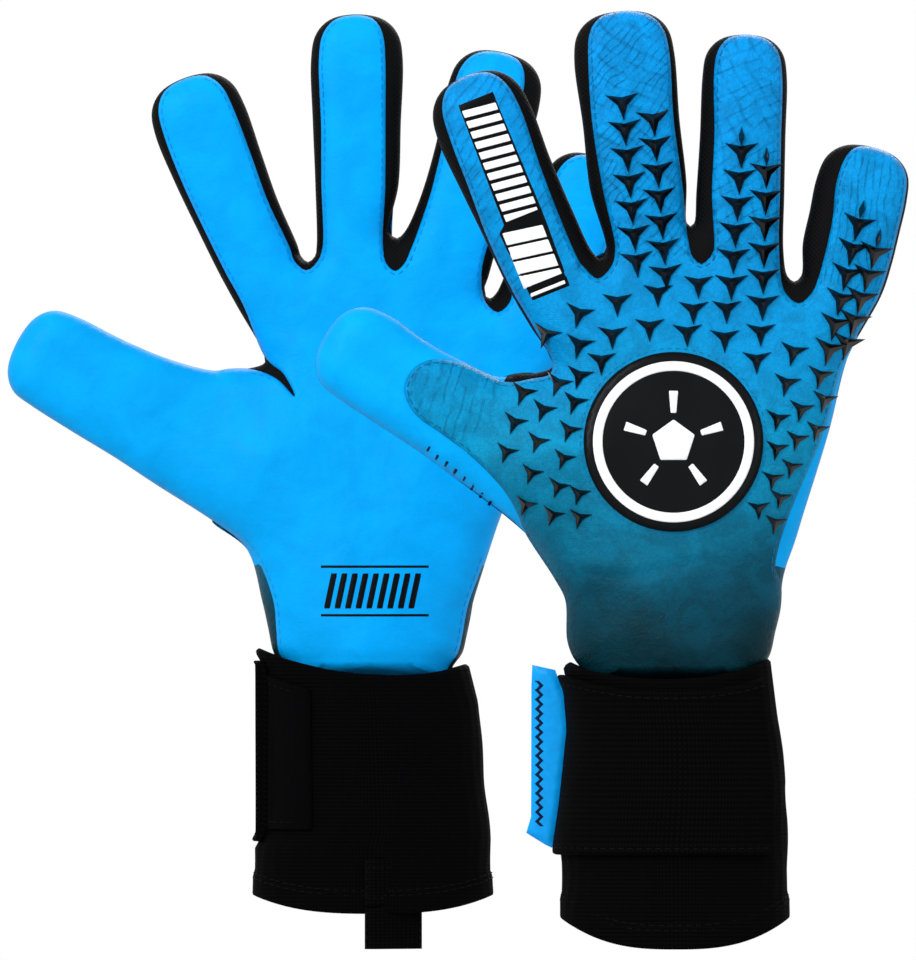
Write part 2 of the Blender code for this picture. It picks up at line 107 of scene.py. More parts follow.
TOP_TILT = {"right": 0.5, "left": -2.6}  # and is higher by this on the little finger's side
STRAP_SPAN = {"right": (-184.0, -35.0), "left": (-197.0, -35.0)}  # degrees round the cuff
STRAP_ROLL = {"right": 0.0, "left": 36.5}  # the hem at the left strap's end is rolled out to here
ROLL_WIDE = 3.6  # width of that hem
TAB_SHIFT = {"right": 0.0, "left": 2.1}  # the strap end's offset along its own normal
TAB_BEND = {"right": -0.012, "left": 0.022}  # its bend, times the square of the distance from its fold
STRAP_LOW = 30.0
STRAP_HIGH = 88.0
STRAP_ABOVE_RIM = 22.0
LOOP_INSET = 4.0  # the loop pad ends this far inside the strap's two edges
KNIT_RADIUS = 33.0  # turns an angle round the cuff into millimetres of its knit pattern
BAND_RADIUS = 32.0  # the same for the borders of the strips round the cuff
LOOP_SPAN = (122.0, 160.0)
PULL_SPAN = (-2.3, 16.4)
PULL_DROP = 13.0
PULL_THICK = 1.3
PULL_LIFT = {"base": 0.7, "tongue": 1.0}  # how far the pull tab's strips stand off the cuff
HIDDEN_PULL = (0.6, 14.4, 2.4)  # the right tongue is folded up: from, to, and how far it stands off
TAB_REST = {"right": 173.0, "left": 99.0}  # world angle of each strap end
HAND_BULGE = ((84, 8.4), (88, 9.4), (94, 11.6), (120, 9.6), (160, 6.6), (200, 1.6), (218, 0.0))

# Each digit: half widths on the thumb side and on the far side, at four even steps from the hinge
# to the shoulder, the shoulder's distance below the tip, and how far the tip lies past the frame's.
SHAPES = {
    "right": {
        "thumb": ((17.3, 15.9, 15.1, 14.2), (17.4, 15.9, 15.7, 17.0), 15.0, 0.6),
        "index": ((15.4, 16.6, 17.9, 18.9), (14.4, 12.8, 12.4, 12.8), 17.0, 0.3),
        "middle": ((14.2, 15.9, 16.5, 17.6), (15.6, 15.1, 14.5, 14.6), 15.0, 0.1),
        "ring": ((16.0, 14.4, 13.4, 12.8), (13.7, 13.8, 14.0, 14.3), 14.0, 0.2),
        "little": ((13.1, 13.4, 13.6, 13.9), (15.0, 15.9, 16.0, 15.9), 14.5, 0.4),
    },
    "left": {
        "thumb": ((20.0, 18.3, 17.2, 15.8), (22.0, 18.4, 17.2, 17.0), 14.0, -1.3),
        "index": ((14.2, 16.0, 17.6, 18.4), (13.1, 12.1, 12.3, 12.6), 15.5, -0.3),
        "middle": ((13.3, 13.8, 14.7, 15.4), (12.8, 13.5, 14.2, 14.8), 15.5, 0.0),
        "ring": ((16.6, 13.9, 12.9, 13.6), (14.0, 14.8, 16.2, 17.2), 15.0, 0.0),
        "little": ((13.4, 13.4, 13.6, 13.8), (15.0, 15.8, 16.0, 15.8), 14.5, -2.0),
    },
}
# How far each panel's edge lies inside the glove's outline: thumb side, far side, tip.
INSETS = {
    "back": {
        "index": ((0.7, 0.8, 2.4, 3.7), (5.6, 4.6, 3.9, 3.4), 0.1),
        "middle": ((4.7, 4.0, 3.0, 4.4), (1.3, 1.4, 1.9, 1.6), 0.1),
        "ring": ((7.2, 4.9, 4.5, 3.6), (1.4, 1.4, 1.4, 1.5), 0.1),
        "little": ((7.0, 7.6, 7.5, 6.4), (0.7, 0.7, 0.7, 0.7), 0.1),
    },
    "palm": {
        "index": ((2.0, 2.0, 2.2, 2.7), (2.6, 3.1, 3.3, 3.8), 0.3),
        "middle": ((2.0, 2.0, 2.7, 2.6), (4.3, 4.3, 5.0, 5.7), 0.3),
        "ring": ((3.4, 2.9, 2.2, 2.0), (2.4, 3.0, 4.5, 6.0), 0.3),
        "little": ((3.0, 3.2, 3.4, 3.2), (2.0, 2.0, 2.0, 2.0), 0.3),
    },
}
# The bottoms of the three gaps between fingers, and how far below them each panel's edge dips.
CROTCHES = {
    "right": ((-24.6, 221.0), (4.6, 231.0), (37.8, 213.3)),
    "left": ((-21.0, 221.3), (8.2, 229.1), (38.7, 209.4)),
}
CROTCH_DROP = {"skin": (0.0, 0.0, 0.0), "back": (6.8, 12.2, 7.0), "palm": (2.8, 10.8, 4.6)}
THUMB_CROTCH = {"right": (-39.6, 185.8), "left": (-35.1, 188.2)}
THUMB_CROTCH_PATH = {
    "skin": ((-12.0, -1.9), (-5.0, -1.7), (0.0, 0.2), (-0.6, 3.4)),
    "back": ((-15.0, -4.6), (-7.0, -3.6), (-0.7, -2.0), (-0.2, 2.0)),
    "palm": ((-12.0, -1.9), (-5.0, -1.9), (3.8, -5.1), (9.8, -11.0), (6.0, -3.5), (0.5, 1.1)),
}
INDEX_BASE = {"right": (-13.5, -13.4), "left": (-12.0, -12.4)}
# The textured back of the thumb, up its far side and down again, in the thumb's own axes.
THUMB_BACK = (
    (12.0, 15.4), (21.5, 11.5), (25.2, 6.0), (24.6, -1.0), (18.0, -6.2), (6.4, -7.7),
    (-5.7, -9.4), (-19.3, -13.5), (-26.0, -17.3),
)
# The hand's two sides from the wrist upwards.
THENAR = {
    "right": ((-33.0, 93.1), (-34.9, 98.6), (-35.5, 111.4), (-38.7, 117.8), (-48.3, 132.8)),
    "left": ((-32.2, 93.0), (-34.0, 101.0), (-36.1, 110.4), (-41.0, 127.0), (-52.5, 136.6)),
}
ULNAR = {
    "right": (
        (30.0, 93.8), (31.7, 101.0), (33.5, 109.0), (33.9, 116.5), (35.0, 121.5), (38.0, 130.0),
        (41.2, 140.5), (49.0, 165.8), (54.6, 188.2),
    ),
    "left": (
        (29.6, 93.0), (30.9, 98.0), (33.0, 109.0), (36.0, 119.0), (41.2, 135.0), (46.6, 150.0),
        (53.6, 170.0), (61.4, 190.0),
    ),
}
SIDE_INSETS = {
    "skin": {"thenar": ((84, 0), (218, 0)), "ulnar": ((84, 0), (218, 0))},
    "back": {
        "thenar": ((84, 0.0), (140, 0.0)),
        "ulnar": ((84, 0.0), (116, 0.0), (121, 3.2), (130, 4.8), (139, 4.6), (152, 2.4), (182, 0.7)),
    },
    "palm": {
        "thenar": ((84, 1.6), (96, 1.8), (108, 3.8), (121, 3.4), (131, 0.0)),
        "ulnar": ((84, 1.4), (112, 1.4), (122, 0.5), (132, 0.0)),
    },
}

# The cuff's two sides from the rim upwards: the strap pulls the thumb side in.
CUFF_SIDES = {
    "right": (
        (
            (0, -36.6), (28, -36.6), (32, -37.0), (47, -34.8), (70, -32.4), (82, -33.4), (89, -36.2),
            (92, -34.6),
        ),
        ((0, 35.8), (11, 35.8), (54, 35.2), (73, 32.6), (92, 30.2)),
    ),
    "left": (
        (
            (10, -38.8), (29.5, -38.3), (31.0, -37.2), (36, -34.7), (82, -34.3), (89, -35.4), (91, -37.0),
            (93, -38.0), (95, -38.1),
        ),
        ((10, 39.4), (32, 38.7), (77, 34.8), (92, 31.0)),
    ),
}
# The strap end's outline: distance out from its fold, and height.
TAB_OUTLINE = (
    (8.3, 90.6), (0.8, 89.0), (-2.7, 79.4), (-3.3, 69.8), (-0.8, 47.4), (1.8, 32.0), (4.0, 33.0),
    (10.3, 36.8), (8.7, 42.0), (8.6, 84.0),
)
# Rows of studs: first and last place, and how many. On fingers in the digit's axes (t, s).
FINGER_STUDS = {
    "middle": (((47.5, -3.4), (-3.2, -3.0), 7), ((41.3, 6.1), (-8.1, 6.0), 7)),
    "ring": (((32.0, -0.2), (-10.2, -3.0), 6), ((25.6, 7.9), (-16.6, 7.0), 6)),
    "little": (((20.3, 2.4), (-20.7, 2.6), 6), ((12.6, 9.7), (-17.6, 7.8), 5)),
}
HAND_STUDS = (
    ((-18.9, 207.0), (7.0, 212.8), 3), ((5.4, 204.5), (16.0, 204.8), 2),
    ((-31.0, 203.2), (-31.0, 183.4), 3), ((-41.6, 196.5), (-41.6, 196.5), 1),
    ((-20.5, 196.5), (-24.0, 188.2), 2), ((-8.6, 199.0), (15.4, 195.5), 3),
    ((26.9, 197.4), (25.6, 188.5), 2), ((37.4, 191.0), (35.2, 181.0), 2),
    ((46.1, 183.4), (46.1, 183.4), 1), ((-40.0, 190.0), (-37.8, 181.0), 2),
    ((-49.0, 178.0), (-57.0, 149.5), 4), ((-42.5, 172.5), (-48.3, 142.0), 4),
    ((-32.5, 175.0), (-39.6, 138.8), 5), ((-31.2, 145.6), (-31.0, 138.0), 2),
    ((32.3, 169.6), (47.4, 175.6), 3), ((32.0, 160.0), (45.0, 166.0), 3),
    ((30.7, 150.4), (42.9, 157.8), 3), ((26.2, 141.0), (40.3, 147.5), 3),
    ((31.7, 136.3), (37.1, 138.9), 2),
)
# Reach of a stud's three arms and of the hollows between them, from its middle.
STUD_LEANS = (90, 155, 214, 270, 326, 25)
STUD_ARMS = (1.4, 5.7, 1.85, 5.6, 1.85, 5.7)
BAR_ARMS = (3.3, 1.0, 1.0, 3.0, 1.0, 1.0)  # the small lozenge above a row
BAR_RISE = 4.4  # how far above its row that lozenge lies
BARRED = ("ring", "little")  # fingers whose rows have one
STUD_DROP = 1.6  # a stud's arms reach at most this far below its middle
STUD_CLEAR = 1.4  # studs stay this far inside the back panel's edge
INDEX_STRIP = {"steps": (-6.0, 20.0, 61.0), "wide": (-12.0, 3.2), "narrow": (-9.5, 3.8)}
PALM_BOX = (-17.0, 19.0, 105.0, 122.0)
THUMB_DASHES = ((-13.5, -9.9), (6.3, -26.9), 8)  # from the thumb's hinge
DASH_SHIFT = (1.4, 1.3)  # along the thumb and across it
DASH_HALF = (1.1, 0.45)  # half length and half width
PALM_RULE = 1.1  # thickness of the two lines of the palm's print
PALM_CLEAR = 2.6  # gap between the lines and the slanted stripes

# Colours as display values. The back's fade runs from the wrist over 200 mm.
LATEX = (0, 166, 244)
BACK_STOPS = (
    (0.0, (0, 36, 45)), (0.05, (0, 45, 56)), (0.135, (0, 66, 86)), (0.265, (3, 110, 144)),
    (0.375, (2, 138, 184)), (0.57, (0, 140, 204)), (1.0, (0, 144, 220)),
)
# Engraved lines of each digit's back: pitch, direction, wobble and depth. The grooves are also painted
# darker, as painted shade.
BACK_LINES = {
    "thumb": ((3.2, 14, 6.0, 0.16),),
    "index": ((2.9, 34, 8.0, 0.18),),
    "middle": ((2.3, 40, 9.0, 0.2), (4.7, -52, 11.0, 0.1)),
    "ring": ((3.6, 62, 10.0, 0.14), (4.4, -20, 11.0, 0.14)),
    "little": ((2.7, 6, 10.0, 0.2),),
}

WORLD_LIGHT = 0.75
LAMPS = (
    ("key", (-1.3, -1.7, 1.3), 1.0, 34.0),
    ("fill", (1.4, -1.5, 0.5), 1.4, 9.0),
    ("back", (0.2, 1.8, 1.2), 1.2, 14.0),
)
FLOOR = -4.6
CAMERA_AWAY = 8.0
CAMERA_PLACE = (-69.8, 149.8)
VIEW_WIDTH = 293.1


def smoothstep(x):
    x = np.clip(x, 0.0, 1.0)
    return x * x * (3 - 2 * x)


def ramp(table, value):
    return np.interp(value, [row[0] for row in table], [row[1] for row in table])


def rounded(share, power):
    """Height of a rounded border: 0 on its edge, 1 from the far end of the curve."""
    return (1 - (1 - np.clip(share, 0, 1)) ** power) ** (1 / power)


class Digit:
    """A digit's own axes, read from its joint: t runs up it from the hinge, s across it."""

    def __init__(self, glove, name):
        joint = JOINTS[f"{glove.name}_{name}_flex"]
        axis, place = joint["axis"], joint["pos_m"]
        self.name = name
        self.body = f"{glove.name}_{name}"
        self.along = np.array([glove.side * axis[2], -glove.side * axis[0]])
        self.across = np.array([self.along[1], -self.along[0]])
        self.hinge = np.array([place[0] / MM - glove.centre[0], place[2] / MM])
        self.near, self.far, self.cap, past = SHAPES[glove.name][name]
        node = bpy.data.objects[f"{self.body}_{'wrap' if name == 'thumb' else 'back'}"]
        spots = np.array([(v.co.x / MM - glove.centre[0], v.co.z / MM) for v in node.data.vertices])
        self.length = float(((spots - self.hinge) @ self.along).max()) + past

    def plane(self, t, s):
        return self.hinge + self.along * t + self.across * s

    def local(self, points):
        away = np.asarray(points) - self.hinge
        return away @ self.along, away @ self.across

    def edge(self, insets):
        """Points up the thumb side, over the tip and down the far side."""
        near_in, far_in, tip_in = insets
        near = [n - i for n, i in zip(self.near, near_in)]
        far = [f - i for f, i in zip(self.far, far_in)]
        shoulder = self.length - self.cap
        steps = np.linspace(0, shoulder, len(near))
        middle = (self.far[-1] - self.near[-1]) / 2
        half = (self.far[-1] + self.near[-1]) / 2
        cap = []
        for angle in np.radians((25, 45, 65, 90, 115, 135, 155)):
            lean = math.cos(angle)
            s = middle - half * math.copysign(abs(lean) ** (2 / TIP_POWER), lean)
            s += near_in[-1] * max(0, lean) + far_in[-1] * min(0, lean)
            rise = math.sin(angle) ** (2 / TIP_POWER)
            cap.append(self.plane(shoulder + self.cap * rise - tip_in * math.sin(angle), s))
        up = [self.plane(t, -s) for t, s in zip(steps, near)]
        down = [self.plane(t, s) for t, s in zip(steps, far)][::-1]
        return up, cap, down


class Glove:
    """One glove's frame, read from its cuff: side is 1 with the palm towards +Y, or -1."""

    def __init__(self, name):
        self.name = name
        self.hand = f"{name}_hand"
        low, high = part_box(f"{name}_cuff")
        self.centre = ((low + high) / 2 / MM).to_2d()
        self.rim = low.z / MM
        self.side = 1 if JOINTS[f"{name}_middle_flex"]["axis"][0] < 0 else -1
        self.digits = {digit: Digit(self, digit) for digit in DIGITS}
        self.corners = self.parting()
        self.outlines = {kind: closed_curve(self.outline(kind)) for kind in ("skin", "back", "palm")}

    def world(self, points):
        """World metres from rows of (u, w, p)."""
        points = np.asarray(points, float)
        x = self.centre[0] + points[:, 0]
        y = self.centre[1] + self.side * points[:, 2]
        return np.stack([x, y, points[:, 1]], 1) * MM

    def parting(self):
        """The line between hand and fingers: its ends, and a corner below each gap."""
        fingers = [self.digits[name] for name in FINGERS]
        corners = [fingers[0].plane(CUT, -fingers[0].near[0] - 4)]
        for left, right in zip(fingers[:-1], fingers[1:]):
            corners.append((left.plane(CUT, left.far[0]) + right.plane(CUT, -right.near[0])) / 2)
        corners.append(fingers[-1].plane(CUT, fingers[-1].far[0] + 4))
        return corners

    def partings(self):
        """Which way the line between two neighbouring fingers runs up from its corner."""
        along = [self.digits[name].along for name in FINGERS]
        sums = [a + b for a, b in zip(along[:-1], along[1:])]
        return [both / np.hypot(*both) for both in sums]

    def cuts(self):
        """Line segments that part the digits from the hand and from each other."""
        thumb = self.digits["thumb"]
        found = list(zip(self.corners[:-1], self.corners[1:]))
        for corner, up, bottom in zip(self.corners[1:-1], self.partings(), CROTCHES[self.name]):
            reach = float((np.array(bottom) - corner) @ up) + 2
            if reach > 1:
                found.append((corner, corner + up * reach))
        found.append((thumb.plane(CUT, -thumb.near[0] - 5), thumb.plane(CUT, thumb.far[0] + 3)))
        return found

    def region(self, points):
        """The name of the digit that each point belongs to, or hand."""
        points = np.asarray(points, float)
        names = np.full(len(points), "hand", dtype="<U8")
        column = np.zeros(len(points), int)
        for corner, run in zip(self.corners[1:-1], self.partings()):
            away = points - corner
            column += (run[0] * away[:, 1] - run[1] * away[:, 0] < 0).astype(int)
        for i, name in enumerate(FINGERS):
            run = self.corners[i + 1] - self.corners[i]
            away = points - self.corners[i]
            above = run[0] * away[:, 1] - run[1] * away[:, 0] > 0
            names[(column == i) & above] = name
        t, s = self.digits["thumb"].local(points)
        names[(t > CUT) & (s < 30)] = "thumb"
        return names

    def outline(self, kind):
        """Control points of an outline, from the wrist's thumb side over the digits and down."""
        name = self.name
        insets = SIDE_INSETS[kind]
        thenar = [(u + ramp(insets["thenar"], w), w) for u, w in THENAR[name]]
        ulnar = [(u - ramp(insets["ulnar"], w), w) for u, w in ULNAR[name]]
        thumb = self.digits["thumb"]
        none = ((0,) * 4, (0,) * 4, 0)
        start = (thenar[0][0] + 3.4, WRIST_END)
        end = (ulnar[0][0] - 3.4, WRIST_END)
        ring = [start, (start[0], WRIST_END + 4), *thenar]
        if kind == "back":
            ring += [thumb.plane(t, s) for t, s in reversed(THUMB_BACK)]
        else:
            up, cap, down = thumb.edge(none)
            ring += [*up, *cap, *down]
        crotch = np.array(THUMB_CROTCH[name])
        ring += [crotch + step for step in THUMB_CROTCH_PATH[kind]]
        last = None
        for i, finger in enumerate(FINGERS):
            digit = self.digits[finger]
            up, cap, down = digit.edge(INSETS[kind][finger] if kind in INSETS else none)
            if last is not None:
                bottom = np.array(CROTCHES[name][i - 1]) - (0, CROTCH_DROP[kind][i - 1])
                last = [p for p in last if p[1] > bottom[1] + 3.5]
                up = [p for p in up if p[1] > bottom[1] + 3.5]
                gap = up[0][0] - last[-1][0]
                if kind != "skin":
                    bottom[0] = (up[0][0] + last[-1][0]) / 2
                rise = min(0.3 * gap, last[-1][1] - bottom[1] - 1)
                ring += [*last, bottom + (-0.36 * gap, rise), bottom, bottom + (0.36 * gap, rise)]
            else:
                t, s = INDEX_BASE[name]
                ring.append(digit.plane(t, s + (INSETS[kind][finger][0][0] if kind in INSETS else 0)))
            ring += [*up, *cap]
            last = down
        ring += [*last, *reversed(ulnar), (end[0], WRIST_END + 4), end]
        return [np.array(p, float) for p in ring]


def closed_curve(control, step=1.5):
    """A smooth curve through the control points, except for the straight last side."""
    points = [control[0] * 2 - control[1], *control, control[-1] * 2 - control[-2]]
    found = []
    for a, b, c, d in zip(points, points[1:], points[2:], points[3:]):
        knots = [0.0]
        for one, two in ((a, b), (b, c), (c, d)):
            knots.append(knots[-1] + math.sqrt(max(1e-6, float(np.hypot(*(two - one))))))
        count = max(1, round(float(np.hypot(*(c - b))) / step))
        for k in range(count):
            t = knots[1] + (knots[2] - knots[1]) * k / count
            found.append(catmull(a, b, c, d, knots, t))
    found.append(control[-1])
    return np.array(found)


def catmull(a, b, c, d, knots, t):
    """A point on the centripetal curve between b and c."""
    def mix(one, two, i, j):
        return one * (knots[j] - t) / (knots[j] - knots[i]) + two * (t - knots[i]) / (knots[j] - knots[i])

    low, middle, high = mix(a, b, 0, 1), mix(b, c, 1, 2), mix(c, d, 2, 3)
    return mix(mix(low, middle, 0, 2), mix(middle, high, 1, 3), 1, 2)


def distance(points, line):
    """Distance of each point to an open line of points."""
    points = np.asarray(points, float)
    starts, runs = line[:-1], line[1:] - line[:-1]
    squares = np.maximum((runs**2).sum(1), 1e-9)
    found = np.empty(len(points))
    for first in range(0, len(points), 1500):
        block = points[first : first + 1500]
        away = block[:, None] - starts[None]
        share = np.clip((away * runs[None]).sum(2) / squares, 0, 1)
        nearest = away - share[..., None] * runs[None]
        found[first : first + 1500] = np.sqrt((nearest**2).sum(2).min(1))
    return found


def inside(points, ring):
    """Whether each point lies inside a closed ring of points."""
    after = np.roll(ring, -1, axis=0)
    found = np.zeros(len(points), bool)
    for a, b in zip(ring, after):
        spans = (a[1] > points[:, 1]) != (b[1] > points[:, 1])
        if a[1] != b[1]:
            cross = a[0] + (b[0] - a[0]) * (points[:, 1] - a[1]) / (b[1] - a[1])
            found ^= spans & (points[:, 0] < cross)
    return found


def filled(ring, spacing, steps, cuts=()):
    """Points and triangles that fill a ring: rows along its edge, then an even honeycomb."""
    run = np.roll(ring, -1, axis=0) - np.roll(ring, 1, axis=0)
    inward = np.stack([run[:, 1], -run[:, 0]], 1) / np.hypot(*run.T)[:, None]
    line = np.vstack([ring, ring[:1]])
    loose = []
    for k, step in enumerate(steps):
        row = (ring + inward * step)[k % 2 :: 1 + (step > spacing)]
        loose.append(row[distance(row, line) > 0.93 * step])
    low, high = ring.min(0), ring.max(0)
    columns = np.arange(low[0], high[0], spacing)
    for j, w in enumerate(np.arange(low[1], high[1], spacing * math.sqrt(0.75))):
        loose.append(np.stack([columns + 0.5 * spacing * (j % 2), np.full(len(columns), w)], 1))
    grid = np.vstack(loose[len(steps) :])
    grid = grid[inside(grid, ring)]
    grid = grid[distance(grid, line) > steps[-1] + 0.45 * spacing]
    spots = np.vstack([*loose[: len(steps)], grid])
    rows = []
    for a, b in cuts:
        count = max(2, round(float(np.hypot(*(b - a))) / spacing))
        rows.append(np.array([a + (b - a) * k / count for k in range(count + 1)]))
        spots = spots[distance(spots, rows[-1]) > 0.45 * spacing]
    edges = [(i, (i + 1) % len(ring)) for i in range(len(ring))]
    spots = np.vstack([ring, spots])
    for row in rows:
        edges += [(len(spots) + k, len(spots) + k + 1) for k in range(len(row) - 1)]
        spots = np.vstack([spots, row])
    flat, _, faces, *_ = geometry.delaunay_2d_cdt(
        [Vector(p) for p in spots], edges, [list(range(len(ring)))], 1, 1e-4
    )
    flat = np.array([tuple(p) for p in flat])
    faces = np.array([f for f in faces if len(f) == 3])
    faces = faces[inside(flat[faces].mean(1), ring)]
    used = np.unique(faces)
    order = np.full(len(flat), -1)
    order[used] = np.arange(len(used))
    return flat[used], order[faces]


def side_height(depth):
    return FINGER_HALF * rounded(depth / EDGE_ROUND, EDGE_POWER)


def skin_height(glove, points, depth):
    """How far the inner glove's surface stands off its middle plane."""
    t, s = glove.digits["thumb"].local(points)
    to_thumb = smoothstep((t + 30) / 34) * (1 - smoothstep((s - 20) / 12))
    bulge = ramp(HAND_BULGE, points[:, 1]) * (1 - to_thumb)
    return side_height(depth) + bulge * np.sin(np.pi / 2 * np.clip(depth / 32, 0, 1))


def relief(glove, kind, points):
    """Soft folds of a panel: broad ripples, and the creases where the hand bends."""
    u, w = points.T
    sway = 0.22 * np.sin(u / 9 + 0.8 * np.sin(w / 13)) * np.sin(w / 11 + 1.3 * np.sin(u / 17))
    sway += 0.12 * np.sin(u / 4.3 + w / 6.1) * np.sin(w / 5.2 - u / 8.3)
    if kind == "back":
        line = 121.6 + 1.8 * np.sin((u + 6) / 7.5) + 0.04 * u
        reach = smoothstep((u + 36) / 6) * smoothstep((14 - u) / 10)
        fold = np.exp(-(((w - line) / 1.5) ** 2)) - 0.7 * np.exp(-(((w - line - 2.6) / 1.7) ** 2))
        sway -= 0.6 * fold * reach
        sway += 0.3 * np.sin(w / 1.9 + 0.5 * np.sin(u / 6)) * np.exp(-(((w - 97) / 7) ** 2))
    else:
        t, s = glove.digits["thumb"].local(points)
        sway -= 0.9 * np.exp(-((t + 17 + 0.01 * s * s) / 7) ** 2) * np.exp(-((s / 22) ** 2))
        sway -= 1.2 * np.exp(-(((u + 4) / 20) ** 2) - ((w - 158) / 22) ** 2)
        sway -= 0.35 * np.exp(-(((w - 196 + 0.12 * u) / 3) ** 2)) * smoothstep((u + 40) / 10)
    return sway


def panel_height(glove, kind, points):
    """The outer face of a back or palm panel, away from its own edges."""
    depth = distance(points, glove.outlines["skin"])
    depth = np.where(inside(points, glove.outlines["skin"]), depth, 0)
    return skin_height(glove, points, depth) + PANEL_THICK + relief(glove, kind, points)


def vertex_normals(points, faces):
    normals = np.zeros_like(points)
    corners = points[faces]
    cross = np.cross(corners[:, 1] - corners[:, 0], corners[:, 2] - corners[:, 0])
    for k in range(3):
        np.add.at(normals, faces[:, k], cross)
    return normals / np.maximum(np.linalg.norm(normals, axis=1), 1e-12)[:, None]


def open_edges(faces):
    """Directed edges that only one face uses."""
    edges = np.vstack([faces[:, [0, 1]], faces[:, [1, 2]], faces[:, [2, 0]]])
    size = int(faces.max()) + 1
    codes = edges[:, 0] * size + edges[:, 1]
    back = edges[:, 1] * size + edges[:, 0]
    return edges[~np.isin(codes, back)]


def closed(top, under, faces):
    """A shell from two sheets of points that share their faces."""
    count = len(top)
    rim = open_edges(faces)
    walls = [np.stack([rim[:, 1], rim[:, 0], rim[:, 0] + count], 1)]
    walls.append(np.stack([rim[:, 1], rim[:, 0] + count, rim[:, 1] + count], 1))
    return np.vstack([top, under]), np.vstack([faces, faces[:, ::-1] + count, *walls])


def build(name, world, faces, normals, rest, materials, marks=None):
    """A smooth object from world metres, with its own normals and a map of its rest place."""
    mesh = bpy.data.meshes.new(name)
    mesh.from_pydata(world.tolist(), [], faces.tolist())
    layer = mesh.uv_layers.new(name="rest")
    corners = np.empty(len(mesh.loops), int)
    mesh.loops.foreach_get("vertex_index", corners)
    layer.data.foreach_set("uv", (rest[corners] / 100).astype(np.float32).ravel())
    for material in materials:
        mesh.materials.append(material)
    if marks is not None:
        mesh.polygons.foreach_set("material_index", marks.astype(np.int32))
    mesh.shade_smooth()
    if normals is not None:
        mesh.normals_split_custom_set_from_vertices(normals.tolist())
    obj = bpy.data.objects.new(name, mesh)
    bpy.context.scene.collection.objects.link(obj)
    return obj


def fasten(piece, glove, part):
    """Rides a piece on the hand; a digit's piece keeps its place, with its transform baked into its mesh.
    """
    if part == "hand":
        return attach(piece, glove.hand)
    digit = glove.digits[part]
    ends = [(*digit.plane(t, 0), 0) for t in (0, BEND_LENGTH)]
    start, end = glove.world([(u, w, p) for u, w, p in ends])
    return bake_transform(piece)


def facing_out(world, faces):
    a, b, c = world[faces].transpose(1, 0, 2)
    return faces if (a * np.cross(b, c)).sum() > 0 else faces[:, ::-1]


def parted(
    glove, name, points, faces, materials, marks=None, parts=None, rest=None, crisp=None
):
    """Pieces of a mesh of (u, w, p) points, one for the hand and one for each digit it reaches."""
    world = glove.world(points)
    faces = facing_out(world, faces)
    rest = points[:, :2] if rest is None else rest
    normals = vertex_normals(world, faces)
    where = parts if parts is not None else glove.region(points[faces].mean(1)[:, :2])
    found = {}
    for part in ("hand", *DIGITS):
        chosen = where == part
        if not chosen.any():
            continue
        used, order = np.unique(faces[chosen], return_inverse=True)
        piece = build(
            f"{glove.name}_{part}_{name}",
            world[used],
            order.reshape(-1, 3),
            None if crisp else normals[used],
            rest[used],
            materials,
            None if marks is None else marks[chosen],
        )
        if crisp:
            piece.data.set_sharp_from_angle(angle=math.radians(crisp))
        found[part] = fasten(piece, glove, part)
    return found


def make_skin(glove):
    """The inner glove: side walls, gussets and lining, one closed shell for each part."""
    ring = glove.outlines["skin"]
    flat, faces = filled(ring, 2.6, (0.25, 0.7, 1.5, 2.8, 4.6), glove.cuts())
    depth = distance(flat, ring)
    high = skin_height(glove, flat, depth)
    high[depth < 1e-3] = 0.0
    count = len(flat)
    shared = np.arange(count)
    apart = high > 1e-3
    shared[apart] = count + np.arange(apart.sum())
    points = np.vstack([np.c_[flat, -high], np.c_[flat[apart], high[apart]]])
    outer = np.vstack([faces, shared[faces[:, ::-1]]])
    where = glove.region(points[outer].mean(1)[:, :2])
    marks = skin_marks(glove, points[outer].mean(1), where)
    normals = vertex_normals(np.c_[points[:, 0], points[:, 2], points[:, 1]], outer)
    inward = np.c_[normals[:, 0], normals[:, 2], normals[:, 1]]
    lining = points - LINING_DEPTH * inward
    all_faces, all_marks, all_parts = [], [], []
    for part in ("hand", *DIGITS):
        chosen = outer[where == part]
        rim = open_edges(chosen)
        base = len(points)
        walls = [np.stack([rim[:, 1], rim[:, 0], rim[:, 0] + base], 1)]
        walls.append(np.stack([rim[:, 1], rim[:, 0] + base, rim[:, 1] + base], 1))
        all_faces += [chosen, chosen[:, ::-1] + base, *walls]
        all_marks += [marks[where == part], np.zeros(len(chosen) + 2 * len(rim), int)]
        all_parts += [part] * (2 * len(chosen) + 2 * len(rim))
    points = np.vstack([points, lining])
    materials = [MATERIALS[key] for key in ("gusset", "latex", "back")]
    pieces = parted(
        glove, "side_walls", points, np.vstack(all_faces), materials,
        np.concatenate(all_marks), np.array(all_parts),
    )
    for part, piece in pieces.items():
        if part in FINGERS:
            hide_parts(f"{glove.name}_{part}_gusset")
    webs = ("web_index_middle", "web_middle_ring", "web_ring_little")
    walls = ("ulnar_side", "thenar_side", "thumb_crotch_gusset")
    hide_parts(*[f"{glove.name}_{node}" for node in (*webs, *walls)])


def skin_marks(glove, centres, where):
    """0 for black gusset, 1 for palm latex rolled round the side, 2 for backhand fabric."""
    u, w = centres[:, 0], centres[:, 1]
    crotch = np.hypot(*(centres[:, :2] - np.array(THUMB_CROTCH[glove.name])).T)
    marks = np.zeros(len(centres), int)
    marks[where == "thumb"] = 1
    low = (where == "hand") & (crotch > 13)
    marks[low & (w < 196) & (u > 0)] = 1
    marks[low & (w < 176) & (u <= 0)] = 1
    marks[(where == "hand") & (w < 122)] = 2
    return marks


